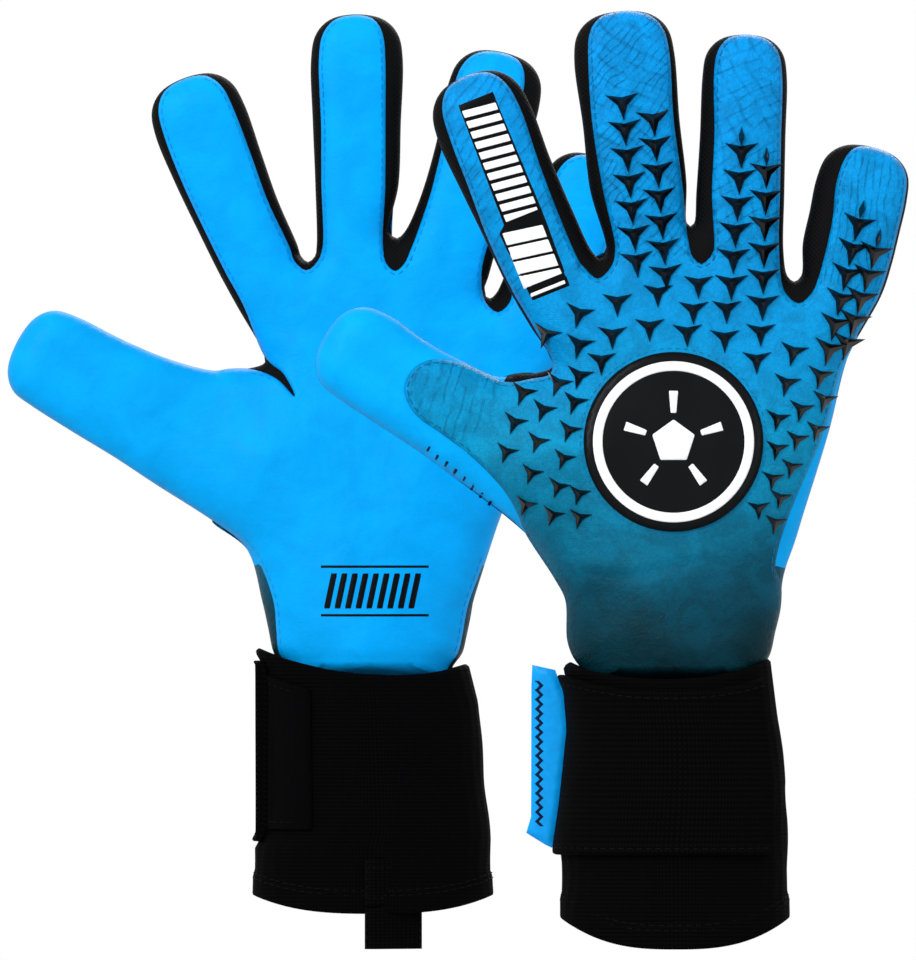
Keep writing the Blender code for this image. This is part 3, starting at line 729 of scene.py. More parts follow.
def make_panel(glove, kind):
    """A back or palm panel: a padded shell with rounded borders, laid on the inner glove."""
    ring = glove.outlines[kind]
    flat, faces = filled(ring, 1.9, (0.3, 0.7, 1.3, 2.2, 3.8), glove.cuts())
    skin = glove.outlines["skin"]
    depth = np.where(inside(flat, skin), distance(flat, skin), 0)
    border = distance(flat, ring)
    base = skin_height(glove, flat, depth)
    proud = (PANEL_THICK + TUCK) * rounded(border / PANEL_ROUND, 2)
    top = base - TUCK + proud + relief(glove, kind, flat) * smoothstep(border / 5)
    under = base - TUCK - 0.4
    sign = -1 if kind == "back" else 1
    order = faces if kind == "back" else faces[:, ::-1]
    points, shell = closed(np.c_[flat, sign * top], np.c_[flat, sign * under], order)
    finish, slot = ("back", "backhand") if kind == "back" else ("latex", "palm_latex")
    pieces = parted(glove, f"{kind}_panel", points, shell, [MATERIALS[finish]], None)
    for part, piece in pieces.items():
        if kind == "back" and part in BACK_LINES:
            piece.data.materials[0] = MATERIALS[f"back_{part}"]
        node = "thumb_wrap" if (part, kind) == ("thumb", "palm") else f"{part}_{kind}"
        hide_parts(f"{glove.name}_{node}")
    stitch(glove, kind, ring, skin)


def stitch(glove, kind, ring, skin):
    """A row of sewn stitches just inside a panel's border, where the border shows."""
    run = np.gradient(ring, axis=0)
    run /= np.hypot(*run.T)[:, None]
    row = ring + STITCH_INSET * np.stack([run[:, 1], -run[:, 0]], 1)
    shown = distance(row, skin) > STITCH_INSET + 0.5
    shown &= distance(row, ring) > STITCH_INSET - 0.3
    shown &= row[:, 1] > WRIST_TOP
    sign = -1 if kind == "back" else 1
    path = np.c_[row, sign * (panel_height(glove, kind, row) - STITCH_SINK)]
    out = np.tile((0.0, 0.0, float(sign)), (len(path), 1))
    points, faces, spots = threads(path, out, shown)
    finish = "thread" if kind == "back" else "palm_thread"
    parts = np.repeat(glove.region(spots[:, :2]), THREAD_FACES)
    parted(glove, f"{kind}_stitches", points, faces, [MATERIALS[finish]], None, parts)


def threads(path, out, shown=None, pitch=3.0, half=1.1, radius=0.2):
    """Separate stitches along a path on a surface: points, triangles and the stitches' middles."""
    line = np.r_[0, np.cumsum(np.linalg.norm(np.diff(path, axis=0), axis=1))]
    places = np.arange(pitch / 2, line[-1] - pitch / 2, pitch)
    if shown is not None:
        places = places[np.interp(places, line, shown.astype(float)) > 0.99]

    def along(table, spots):
        return np.stack([np.interp(spots, line, table[:, k]) for k in range(3)], 1)

    points, faces = [], []
    middles = along(path, places)
    outs = along(out, places)
    turns = along(path, places + half) - along(path, places - half)
    turns /= np.linalg.norm(turns, axis=1)[:, None]
    sides = np.cross(turns, outs)
    rings = ((-half, 0.5, 0.14), (-0.6 * half, 1, 0), (0.6 * half, 1, 0), (half, 0.5, 0.14))
    for middle, turn, side, up in zip(middles, turns, sides, outs):
        base = len(points)
        for reach, wide, sink in rings:
            for corner in range(6):
                angle = math.pi / 3 * corner
                away = side * math.cos(angle) + up * math.sin(angle)
                points.append(middle + turn * reach + away * radius * wide - up * sink)
        for step in (0, 6, 12):
            for corner in range(6):
                a, b = base + step + corner, base + step + (corner + 1) % 6
                faces += [(a, b, b + 6), (a, b + 6, a + 6)]
        for first, order in ((base, -1), (base + 18, 1)):
            faces += [(first, first + corner, first + corner + 1)[::order] for corner in range(1, 5)]
    return np.array(points), np.array(faces), middles


def stud(centre, turn, size, surface, arms):
    """One three-armed stud: a low pyramid whose arms end in points, standing on a small skirt."""
    points, rim = [], []
    for corner in range(6):
        angle = turn + math.radians(STUD_LEANS[corner])
        arm = arms[corner] * size
        rim.append(centre + arm * np.array([math.cos(angle), math.sin(angle)]))
    rim = np.array(rim)
    inner = centre + (rim - centre) * 0.82
    top = surface(np.array([centre]))[0]
    floor = np.maximum(surface(rim), top - STUD_DROP)
    shelf = np.maximum(surface(inner), top - STUD_DROP)
    points = [(*p, h - 0.3) for p, h in zip(rim, floor)]
    points += [(*p, h + 0.45 * size) for p, h in zip(rim, floor)]
    points += [(*p, h + 0.9 * size) for p, h in zip(inner, shelf)]
    points.append((*centre, top + 2.4 * size))
    faces = []
    for k in range(6):
        n = (k + 1) % 6
        for low in (0, 6):
            faces += [(low + k, low + n, low + n + 6), (low + k, low + n + 6, low + k + 6)]
        faces.append((12 + k, 12 + n, 18))
    for k in range(1, 5):
        faces.append((0, k + 1, k))
    return np.array(points), np.array(faces)


def chain(start, end, count):
    share = np.linspace(0, 1, count)[:, None]
    return np.array(start) * (1 - share) + np.array(end) * share


def stud_places(glove):
    """(centre, turn, size, arms) of each stud: rows up three fingers and round the badge."""
    found = []
    for name, rows in FINGER_STUDS.items():
        digit = glove.digits[name]
        lean = math.atan2(digit.along[1], digit.along[0]) - math.pi / 2
        for start, end, count in rows:
            for t, s in chain(start, end, count):
                found.append((digit.plane(t, s), lean, 1.04, STUD_ARMS))
        for start, _, _ in rows if name in BARRED else ():
            found.append((digit.plane(start[0] + BAR_RISE, start[1]), lean, 1.0, BAR_ARMS))
    for start, end, count in HAND_STUDS:
        for spot in chain(start, end, count):
            lean = -0.35 * smoothstep((-26 - spot[0]) / 8) - 0.22 * smoothstep((spot[0] - 26) / 8)
            size = 0.72 + 0.2 * float(smoothstep((spot[1] - 150) / 50))
            found.append((spot, float(lean), size, STUD_ARMS))
    return found


def make_studs(glove):
    def on_back(spots):
        return panel_height(glove, "back", spots)

    points, faces, parts, total = [], [], [], 0
    ring = glove.outlines["back"]
    places = stud_places(glove)
    spots = np.array([place[0] for place in places])
    kept = inside(spots, ring) & (distance(spots, ring) > STUD_CLEAR)
    places = [place for place, keep in zip(places, kept) if keep]
    where = glove.region(np.array([place[0] for place in places]))
    for (centre, turn, size, arms), part in zip(places, where):
        spots, sides = stud(np.array(centre), turn, size, on_back, arms)
        points.append(np.c_[spots[:, :2], -spots[:, 2]])
        faces.append(sides + total)
        parts += [part] * len(sides)
        total += len(spots)
    parted(
        glove, "studs", np.vstack(points), np.vstack(faces), [MATERIALS["stud"]],
        parts=np.array(parts), crisp=18,
    )


def plaque(glove, rings, surface, thick, kind="back", spacing=1.6, sink=0.25, cuts=()):
    """Thin raised shapes on a surface, each with a rounded border: points, triangles, middles."""
    points, faces, middles, total = [], [], [], 0
    sign = -1 if kind == "back" else 1
    for ring in rings:
        ring = np.array(ring, float)
        after = np.roll(ring, -1, axis=0)
        if (ring[:, 0] * after[:, 1] - ring[:, 1] * after[:, 0]).sum() > 0:
            ring = ring[::-1]
        flat, sides = filled(ring, spacing, (0.35 * spacing,), cuts)
        border = distance(flat, np.vstack([ring, ring[:1]]))
        base = surface(flat)
        top = base + (thick + sink) * rounded(border / max(0.4, 0.8 * thick), 2) - sink
        shell, sides = closed(np.c_[flat, sign * top], np.c_[flat, sign * (base - sink - 0.2)], sides)
        points.append(shell)
        faces.append(sides + total)
        middles += [ring.mean(0)] * len(sides)
        total += len(shell)
    return np.vstack(points), np.vstack(faces), np.array(middles)


def lay(glove, name, rings, finish, slot, thick, surface=None, kind="back", over=0.0, whole=True, **more):
    """Plaques on a panel, each whole on one part, or parted where the panel is."""
    def on_panel(spots):
        return panel_height(glove, kind, spots) + over

    cuts = () if whole else glove.cuts()
    points, faces, middles = plaque(glove, rings, surface or on_panel, thick, kind, cuts=cuts, **more)
    parts = glove.region(middles) if whole else None
    return parted(glove, name, points, faces, [MATERIALS[finish]], parts=parts)


def stepped(corners, step=1.2):
    """A straight-sided ring with points along its sides."""
    found = []
    corners = [np.array(c, float) for c in corners]
    for a, b in zip(corners, corners[1:] + corners[:1]):
        count = max(1, round(float(np.hypot(*(b - a))) / step))
        found += [a + (b - a) * k / count for k in range(count)]
    return found


def circle(centre, radius, count=96):
    turns = 2 * np.pi * np.arange(count) / count
    return np.array(centre) + radius * np.stack([np.cos(turns), np.sin(turns)], 1)


def shell_of(outer, inner, wrap=False):
    """A closed shell from an outer and an inner grid of points, closed round when wrapped."""
    rows, columns = outer.shape[:2]
    index = np.arange(rows * columns).reshape(rows, columns)
    if wrap:
        index = np.hstack([index, index[:, :1]])
    a, b, c, d = index[:-1, :-1], index[:-1, 1:], index[1:, 1:], index[1:, :-1]
    faces = [np.stack(three, -1).reshape(-1, 3) for three in ((a, b, c), (a, c, d))]
    return closed(outer.reshape(-1, 3), inner.reshape(-1, 3), np.vstack(faces))


def make_badge(glove):
    """A domed black patch with a raised white ring, a pentagon and five spokes."""
    disc = lay(glove, "badge_patch", [circle(BADGE_CENTRE, BADGE_RADIUS)], "badge", "patch", BADGE_THICK)
    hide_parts(f"{glove.name}_badge_disc")
    turns = 2 * np.pi * np.arange(120) / 120
    low, high = RING_RADII
    outer, inner = [], []
    for share in (0, 0.06, 0.2, 0.5, 0.8, 0.94, 1):
        radius = low + (high - low) * share
        spots = np.array(BADGE_CENTRE) + radius * np.stack([np.cos(turns), np.sin(turns)], 1)
        base = panel_height(glove, "back", spots) + BADGE_THICK
        lift = 0.55 * rounded(min(share, 1 - share) * (high - low) / 0.5, 2) - 0.15
        outer.append(np.c_[spots, -(base + lift)])
        inner.append(np.c_[spots, -(base - 0.4)])
    points, faces = shell_of(np.array(outer), np.array(inner), wrap=True)
    ring = parted(glove, "badge_band", points, faces, [MATERIALS["white"]])
    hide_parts(f"{glove.name}_badge_ring")
    shapes = [stepped(five(7.4))]
    for k in range(5):
        lean = math.pi / 2 + 2 * math.pi / 5 * k
        along = np.array([math.cos(lean), math.sin(lean)])
        side = np.array([-math.sin(lean), math.cos(lean)])
        centre = np.array(BADGE_CENTRE)
        shapes.append(stepped([
            centre + along * 9.0 - side * 1.1, centre + along * 16.5 - side * 1.7,
            centre + along * 16.5 + side * 1.7, centre + along * 9.0 + side * 1.1,
        ]))
    lay(glove, "badge_mark", shapes, "white", "print", 0.4, over=BADGE_THICK)
    rim = circle(BADGE_CENTRE, BADGE_RADIUS + 1.0, 160)
    path = np.c_[rim, -(panel_height(glove, "back", rim) - 0.1)]
    out = np.tile((0.0, 0.0, -1.0), (len(path), 1))
    points, faces, _ = threads(np.vstack([path, path[:1]]), np.vstack([out, out[:1]]), pitch=2.6, half=0.9)
    parted(glove, "badge_stitches", points, faces, [MATERIALS["thread"]], parts=hand(faces))


def hand(faces):
    return np.full(len(faces), "hand")


def five(radius):
    """Corners of the badge's pentagon."""
    leans = math.pi / 2 + 2 * np.pi / 5 * np.arange(5)
    return np.array(BADGE_CENTRE) + radius * np.stack([np.cos(leans), np.sin(leans)], 1)


def make_prints(glove):
    """Hatched prints: a strip up the index finger, a box on the palm, dashes round the thumb."""
    index = glove.digits["index"]
    low, bend, high = INDEX_STRIP["steps"]
    narrow, wide = INDEX_STRIP["narrow"], INDEX_STRIP["wide"]
    frame_ring = [
        index.plane(low, wide[0] + 2), index.plane(low, wide[1]), index.plane(bend, narrow[1]),
        index.plane(high, narrow[1] - 0.6), index.plane(high, narrow[0] + 0.6),
        index.plane(bend, narrow[0]), index.plane(bend - 2, wide[0]),
    ]
    lay(glove, "index_strip", [stepped(frame_ring)], "print_dark", "print", 0.22, whole=False, sink=0.1)
    bars = []
    spans = [(low + 1.2, -2.8, 1, wide), (-1.4, bend - 1.6, 4, wide), (bend + 0.4, high - 1.2, 11, narrow)]
    for first, last, count, (near, far) in spans:
        size = (last - first) / count
        for k in range(count):
            t = first + size * k
            lean = 0.0 if count == 1 else (2.2 if count == 4 else 1.4)
            gap = 0.55 if count < 11 else 0.9
            inset = 2.2 if count == 1 else 1.0
            bars.append(stepped([
                index.plane(t, near + inset), index.plane(t + size - gap, near + inset),
                index.plane(t + size - gap - lean, far - 1.0), index.plane(max(first, t - lean), far - 1.0),
            ], 0.9))
    lay(glove, "index_bars", bars, "white", "print", 0.2, over=0.2, spacing=1.2, sink=0.1)
    left, right, low, high = PALM_BOX
    bars = []
    for z in (low, high - PALM_RULE):
        bars.append(stepped([(left, z), (right, z), (right, z + PALM_RULE), (left, z + PALM_RULE)], 1.0))
    for k in range(9):
        u = left + 0.4 + (right - left - 5) / 9 * (k + 0.2)
        bars.append(stepped([
            (u, low + PALM_CLEAR), (u + 2.3, low + PALM_CLEAR),
            (u + 4.8, high - PALM_CLEAR), (u + 2.5, high - PALM_CLEAR),
        ], 0.9))
    lay(glove, "palm_print", bars, "print_dark", "print", 0.16, kind="palm", spacing=1.1, sink=0.1)
    thumb = glove.digits["thumb"]
    along = thumb.along
    side = np.array([along[1], -along[0]])
    long, wide = DASH_HALF
    dashes = []
    for centre in chain(*THUMB_DASHES):
        centre = thumb.hinge + centre + DASH_SHIFT[0] * along + DASH_SHIFT[1] * side
        dashes.append(stepped([
            centre - side * long - along * wide, centre - side * long + along * wide,
            centre + side * long + along * wide, centre + side * long - along * wide,
        ], 0.8))

    def band(spots):
        return skin_height(glove, spots, distance(spots, glove.outlines["skin"]))

    lay(glove, "thumb_dashes", dashes, "print_blue", "print", 0.16, surface=band, spacing=0.8, sink=0.1)


def squared(x):
    """A cosine or sine, drawn out to the cuff's squarer section."""
    return np.sign(x) * np.abs(x) ** CUFF_SQUARE


def tube_point(glove, w, angle, proud=0.0):
    """Points outside the cuff's surface by proud, at heights and angles from +u to +p."""
    w, angle = np.broadcast_arrays(np.asarray(w, float), np.asarray(angle, float))
    left, right = (ramp(side, w) for side in CUFF_SIDES[glove.name])
    share = (w - glove.rim) / (WRIST_TOP - glove.rim)
    deep = CUFF_DEPTH[0] + (CUFF_DEPTH[1] - CUFF_DEPTH[0]) * share + proud
    wide = (right - left) / 2 + proud
    u = (left + right) / 2 + wide * squared(np.cos(angle))
    return np.stack([u, w, deep * squared(np.sin(angle))], -1)


def cuff_levels(glove, share, angle):
    """Heights on the cuff: its rim dips and its top edge sags at front and back."""
    low = glove.rim - RIM_DROP[glove.name] + RIM_RISE[glove.name] * np.abs(np.cos(angle)) ** 2.4
    return low + (WRIST_TOP - sag(glove, angle) - low) * share


def sag(glove, angle):
    """How far the cuff's top edge lies below its mean height."""
    return TOP_SAG * np.sin(angle) ** 2 - TOP_TILT[glove.name] * np.cos(angle)


def make_cuff(glove):
    """An elastic cuff with a hem, fine gathers and a sewn rim."""
    angles = np.radians(np.arange(0, 360, 2.0))
    hem = (0, 0.004, 0.012, 0.03, 0.055, 0.072, 0.082, 0.092, 0.11)
    shares = np.r_[hem, np.linspace(0.14, 0.95, 32), 0.975, 0.99, 1]
    share, angle = np.meshgrid(shares, angles, indexing="ij")
    w = cuff_levels(glove, share, angle)
    up = w - cuff_levels(glove, 0 * share, angle)
    down = cuff_levels(glove, 0 * share + 1, angle) - w
    proud = 0.55 * smoothstep((8.2 - up) / 0.8) - 0.25 * np.exp(-(((up - 7.4) / 0.5) ** 2))
    proud += 0.10 * np.sin(angle * 31 + 0.9 * np.sin(w / 5)) * smoothstep(up / 8)
    proud += 0.35 * np.sin(w / 4.6 + 0.8 * np.sin(3 * angle)) * np.sin(angle * 2 + w / 30) ** 2
    edge = np.minimum(up, down)
    proud -= 0.8 * (1 - rounded(edge / 0.9, 2))
    outer = tube_point(glove, w, angle, proud)
    inner = tube_point(glove, w, angle, -CUFF_WALL + 0.5 * (1 - rounded(edge / 0.9, 2)))
    points, faces = shell_of(outer, inner, wrap=True)
    rest = np.stack([angle * KNIT_RADIUS, w], -1).reshape(-1, 2)
    piece = parted(
        glove, "elastic_cuff", points, faces, [MATERIALS["cuff"]],
        parts=hand(faces), rest=np.vstack([rest, rest]),
    )["hand"]
    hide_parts(f"{glove.name}_cuff")
    rows = []
    for height in (6.0, 7.6):
        turn = np.radians(np.arange(0, 361, 1.5))
        w = cuff_levels(glove, 0 * turn, turn) + height
        path = tube_point(glove, w, turn, 0.5 if height < 7 else 0.25)
        out = tube_point(glove, w, turn, 1.5) - tube_point(glove, w, turn, 0.5)
        rows.append((path, out / np.linalg.norm(out, axis=1)[:, None]))
    sewing(glove, "hem_stitches", rows)
    height = WRIST_TOP - glove.rim
    return piece


def sewing(glove, name, rows, body=None, finish="cuff_thread", **more):
    points, faces, total = [], [], 0
    for path, out in rows:
        spots, sides, _ = threads(path, out, **more)
        points.append(spots)
        faces.append(sides + total)
        total += len(spots)
    points, faces = np.vstack(points), np.vstack(faces)
    if body is None:
        return parted(glove, name, points, faces, [MATERIALS[finish]], parts=hand(faces))
    world = glove.world(points)
    return placed(f"{glove.name}_{name}", world, faces, finish, body)


def placed(name, world, faces, finish, body, rest=None, crisp=50):
    """A piece from world metres that rides on one body."""
    faces = facing_out(world, faces)
    rest = world[:, [0, 2]] / MM if rest is None else rest
    piece = build(name, world, faces, None, rest, [MATERIALS[finish]])
    piece.data.set_sharp_from_angle(angle=math.radians(crisp))
    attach(piece, body)
    return piece


def wrapped(glove, name, angles, levels, proud, thick, finish, node, border=0.35, roll=0.0):
    """A strip round the cuff between two angles and two heights, with rounded, bound borders."""
    around = np.radians(np.linspace(*angles, max(12, round(abs(angles[1] - angles[0]) / 1.6))))
    steps = np.r_[0, 0.25, 0.7, 1.4, 2.6, 3.6]
    size = levels[1] - levels[0]
    rows = levels[0] + np.r_[steps, np.linspace(4.6, size - 4.6, 22), size - steps[::-1]]
    w, angle = np.meshgrid(rows, around, indexing="ij")
    edge = np.minimum(w - levels[0], levels[1] - w)
    span = np.abs(angle - around[0]) * BAND_RADIUS
    edge = np.minimum(edge, np.minimum(span, span.max() - span))
    lift = thick * rounded(edge / 0.9 + 0.15, 2) + border * smoothstep((3.4 - edge) / 0.8)
    lift += 0.15 * np.sin(w / 9 + 2 * angle) * np.sin(angle * 3) * smoothstep(edge / 5)
    w = w - sag(glove, angle) * (w - levels[0]) / size
    room = np.clip(roll + ramp(CUFF_SIDES[glove.name][0], w), 0, None)
    lift += room * np.sqrt(np.clip(1 - ((span - ROLL_WIDE / 2) / (ROLL_WIDE / 2)) ** 2, 0, 1))
    outer = tube_point(glove, w, angle, proud + lift)
    inner = tube_point(glove, w, angle, np.full_like(w, proud))
    points, faces = shell_of(outer, inner)
    rest = np.stack([angle * KNIT_RADIUS, w], -1).reshape(-1, 2)
    piece = parted(
        glove, name, points, faces, [MATERIALS[finish]],
        parts=hand(faces), rest=np.vstack([rest, rest]),
    )["hand"]
    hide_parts(f"{glove.name}_{node}")
    rows = []
    for height in (2.4, size - 2.4):
        turn = around[np.abs(around - around[0]) * BAND_RADIUS > 6]
        level = levels[0] + height - sag(glove, turn) * height / size
        path = tube_point(glove, level, turn, proud + thick + border - 0.05)
        out = tube_point(glove, level, turn, proud + thick + border + 1) - path
        rows.append((path, out / np.linalg.norm(out, axis=1)[:, None]))
    sewing(glove, f"{name}_stitches", rows)


def make_tab(glove, low):
    """The strap's moulded end: a ribbed tongue with a zigzag inlay and a pad of hooks behind."""
    joint = JOINTS[f"{glove.name}_strap_tab_fold"]
    fold = np.array(joint["pos_m"]) / MM
    turn = math.radians(TAB_REST[glove.name])
    run = np.array([math.cos(turn), math.sin(turn), 0])
    normal = -glove.side * np.array([run[1], -run[0], 0])

    def world(points):
        lift = points[:, 2] + TAB_BEND[glove.name] * np.clip(points[:, 0], 0, None) ** 2
        lift = lift + TAB_SHIFT[glove.name]
        spots = fold * (1, 1, 0) + points[:, :1] * run + lift[:, None] * normal
        spots[:, 2] = points[:, 1]
        return spots * MM

    least = -9.0 if glove.side > 0 else 0.0
    short = (STRAP_HIGH - low) / (STRAP_HIGH - STRAP_LOW)
    outline = [(max(r, least), low + (w - STRAP_LOW) * short) for r, w in TAB_OUTLINE]
    ring = np.array(stepped(outline, 1.0))
    flat, sides = filled(ring, 1.1, (0.2, 0.5), ())
    border = distance(flat, np.vstack([ring, ring[:1]]))
    half = 0.85 * rounded(border / 0.8, 2)
    ribs = 0.12 * np.cos(flat[:, 1] * 2 * np.pi / 2.2) * smoothstep((border - 1.2) / 0.6)
    ribs *= smoothstep((2.6 - flat[:, 0]) / 0.8)
    points, faces = closed(np.c_[flat, half + ribs], np.c_[flat, -half], sides)
    body = f"{glove.name}_strap_tab"
    piece = placed(f"{glove.name}_strap_end", world(points), faces, "tab", body, points[:, :2])
    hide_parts(f"{glove.name}_strap_tab")
    points, faces = tab_inlay(low)
    placed(f"{glove.name}_strap_inlay", world(points), faces, "print_blue", body)
    points, faces = tab_hooks(low)
    placed(f"{glove.name}_strap_hooks", world(points), faces, "hooks", body)


def tab_inlay(low):
    """A raised zigzag up the strap's end, in the tab's own axes."""
    zigzag = []
    for k, w in enumerate(np.arange(low + 9, low + 56, 1.5)):
        zigzag.append((5.9 + (0.75 if k % 2 else -0.75), w))
    zigzag = np.array(zigzag)
    wide = np.array([0.75, 0.0])
    grid = np.array([zigzag - wide, zigzag - 0.6 * wide, zigzag + 0.6 * wide, zigzag + wide])
    lift = np.array([0.8, 1.0, 1.0, 0.8])[:, None, None] * np.ones((4, len(zigzag), 1))
    return shell_of(np.concatenate([grid, lift], -1), np.concatenate([grid, lift * 0 + 0.5], -1))


def tab_hooks(low):
    """A pad of hook tape on the inner face of the strap's end, in the tab's own axes."""
    ring = np.array(stepped([(0.8, low + 6), (0.8, low + 54), (7.6, low + 54), (7.6, low + 10)], 1.0))
    flat, sides = filled(ring[::-1], 1.1, (0.3,), ())
    border = distance(flat, np.vstack([ring, ring[:1]]))
    depth = 0.8 + 0.4 * rounded(border / 0.5, 2)
    return closed(np.c_[flat, -depth], np.c_[flat, 0 * depth - 0.6], sides)


def make_pull_tab(glove):
    """A webbing strip sewn to the cuff's palm side and its loose tongue at the rim."""
    low_u, high_u = PULL_SPAN
    ends = np.r_[0, 0.2, 0.7]
    us = np.r_[low_u + ends, np.linspace(low_u + 1.6, high_u - 1.6, 14), high_u - ends[::-1]]

    def strip(heights, lift, thick):
        u, w = np.meshgrid(us, heights, indexing="ij")
        left, right = (ramp(side, np.maximum(w, glove.rim)) for side in CUFF_SIDES[glove.name])
        power = 1 / CUFF_SQUARE
        across = np.abs(u - (left + right) / 2) / ((right - left) / 2)
        face = CUFF_DEPTH[0] * (1 - across**power) ** (1 / power)
        edge = np.minimum(u - low_u, high_u - u)
        edge = np.minimum(edge, np.minimum(w - heights.min(), heights.max() - w))
        round_in = 0.5 * thick * (1 - rounded(edge / 0.7, 2))
        outer = np.stack([u, w, face + lift + thick - round_in], -1)
        inner = np.stack([u, w, face + lift + round_in], -1)
        return outer, inner

    spans = {
        "base": (glove.rim + 1.0, glove.rim + 16.4),
        "tongue": (glove.rim - PULL_DROP, glove.rim + 0.4),
    }
    lifts = dict(PULL_LIFT)
    if glove.side > 0:
        start, end, lifts["tongue"] = HIDDEN_PULL
        spans["tongue"] = (glove.rim + start, glove.rim + end)
    for key, (low, high) in spans.items():
        heights = np.r_[low + ends, np.linspace(low + 1.6, high - 1.6, 12), high - ends[::-1]]
        outer, inner = strip(heights, lifts[key], PULL_THICK)
        points, faces = shell_of(outer, inner)
        body = glove.hand if key == "base" else f"{glove.name}_pull_tab"
        node = "pull_tab_base" if key == "base" else "pull_tab"
        piece = placed(
            f"{glove.name}_pull_{key}", glove.world(points), faces, "webbing", body, points[:, :2]
        )
        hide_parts(f"{glove.name}_{node}")
        rows = []
        for share in (0.12, 0.88):
            k = round(share * (len(us) - 1))
            rows.append((outer[k], np.tile((0.0, 0.0, 1.0), (outer.shape[1], 1))))
        if key == "base":
            for k in (4, -5):
                rows.append((outer[:, k], np.tile((0.0, 0.0, 1.0), (outer.shape[0], 1))))
        sewing(glove, f"pull_{key}_stitches", rows, body, pitch=2.6, half=0.9)


def linear(colour):
    """Linear light from display values of 0 to 255."""
    share = np.array(colour, float) / 255
    found = np.where(share <= 0.04045, share / 12.92, ((share + 0.055) / 1.055) ** 2.4)
    return (*(float(x) for x in found), 1.0)


class Look:
    """A material's node tree, with textures laid out in millimetres on the piece's rest map."""

    def __init__(self, name, colour, roughness, **more):
        self.material = bpy.data.materials.new(name)
        self.material.use_nodes = True
        self.tree = self.material.node_tree
        self.shader = self.tree.nodes["Principled BSDF"]
        self.shader.inputs["Base Color"].default_value = linear(colour)
        self.shader.inputs["Roughness"].default_value = roughness
        for key, value in more.items():
            self.shader.inputs[key.replace("_", " ")].default_value = value
        uv = self.node("ShaderNodeUVMap", uv_map="rest")
        scale = self.node("ShaderNodeVectorMath", operation="SCALE")
        scale.inputs["Scale"].default_value = 100.0
        self.link(uv.outputs["UV"], scale.inputs[0])
        self.mm = scale.outputs[0]
        self.last_bump = None

    def node(self, kind, **settings):
        made = self.tree.nodes.new(kind)
        for key, value in settings.items():
            setattr(made, key, value)
        return made

    def link(self, one, two):
        self.tree.links.new(one, two)

    def turned(self, degrees=0.0, stretch=(1.0, 1.0)):
        turn = self.node("ShaderNodeMapping")
        turn.inputs["Rotation"].default_value = (0, 0, math.radians(degrees))
        turn.inputs["Scale"].default_value = (*stretch, 1.0)
        self.link(self.mm, turn.inputs["Vector"])
        return turn.outputs["Vector"]

    def noise(self, scale, detail=2.0, place=None, distortion=0.0):
        made = self.node("ShaderNodeTexNoise")
        made.inputs["Scale"].default_value = scale
        made.inputs["Detail"].default_value = detail
        made.inputs["Distortion"].default_value = distortion
        self.link(place or self.mm, made.inputs["Vector"])
        return made.outputs["Fac"]

    def cells(self, scale, feature="F1", place=None, randomness=1.0):
        made = self.node("ShaderNodeTexVoronoi", feature=feature)
        made.inputs["Scale"].default_value = scale
        made.inputs["Randomness"].default_value = randomness
        self.link(place or self.mm, made.inputs["Vector"])
        return made.outputs["Distance"]

    def waves(self, pitch, degrees, wobble=0.0, wobble_scale=1.0):
        """Bands across the given direction, one every pitch millimetres."""
        made = self.node("ShaderNodeTexWave", wave_type="BANDS", bands_direction="X")
        made.inputs["Scale"].default_value = math.pi / 10 / pitch
        made.inputs["Distortion"].default_value = wobble
        made.inputs["Detail Scale"].default_value = wobble_scale
        self.link(self.turned(degrees), made.inputs["Vector"])
        return made.outputs["Fac"]

    def remap(self, value, low, high, to_low=0.0, to_high=1.0):
        made = self.node("ShaderNodeMapRange", interpolation_type="SMOOTHSTEP")
        for key, number in zip(("From Min", "From Max", "To Min", "To Max"), (low, high, to_low, to_high)):
            made.inputs[key].default_value = number
        self.link(value, made.inputs["Value"])
        return made.outputs["Result"]

    def maths(self, operation, one, two):
        made = self.node("ShaderNodeMath", operation=operation)
        for k, value in enumerate((one, two)):
            if isinstance(value, (int, float)):
                made.inputs[k].default_value = value
            else:
                self.link(value, made.inputs[k])
        return made.outputs[0]

    def emboss(self, height, depth, strength=1.0):
        """Adds relief of the given depth in millimetres to the shading."""
        made = self.node("ShaderNodeBump")
        made.inputs["Strength"].default_value = strength
        made.inputs["Distance"].default_value = depth * MM
        self.link(height, made.inputs["Height"])
        if self.last_bump:
            self.link(self.last_bump, made.inputs["Normal"])
        self.last_bump = made.outputs["Normal"]
        self.link(self.last_bump, self.shader.inputs["Normal"])

    def ramp(self, value, stops):
        made = self.node("ShaderNodeValToRGB")
        places = made.color_ramp.elements
        while len(places) < len(stops):
            places.new(0.5)
        for element, (place, colour) in zip(places, stops):
            element.position = place
            element.color = linear(colour)
        self.link(value, made.inputs["Fac"])
        return made.outputs["Color"]

    def shade(self, colour, value, low, high):
        """Multiplies a colour by a value that runs from low to high, and makes it the base colour."""
        made = self.node("ShaderNodeMix", data_type="RGBA", blend_type="MULTIPLY")
        made.inputs["Factor"].default_value = 1.0
        grey = self.remap(value, 0.0, 1.0, low, high)
        self.link(grey, made.inputs[7])
        if isinstance(colour, tuple):
            made.inputs[6].default_value = colour
        else:
            self.link(colour, made.inputs[6])
        self.link(made.outputs[2], self.shader.inputs["Base Color"])
        return made.outputs[2]


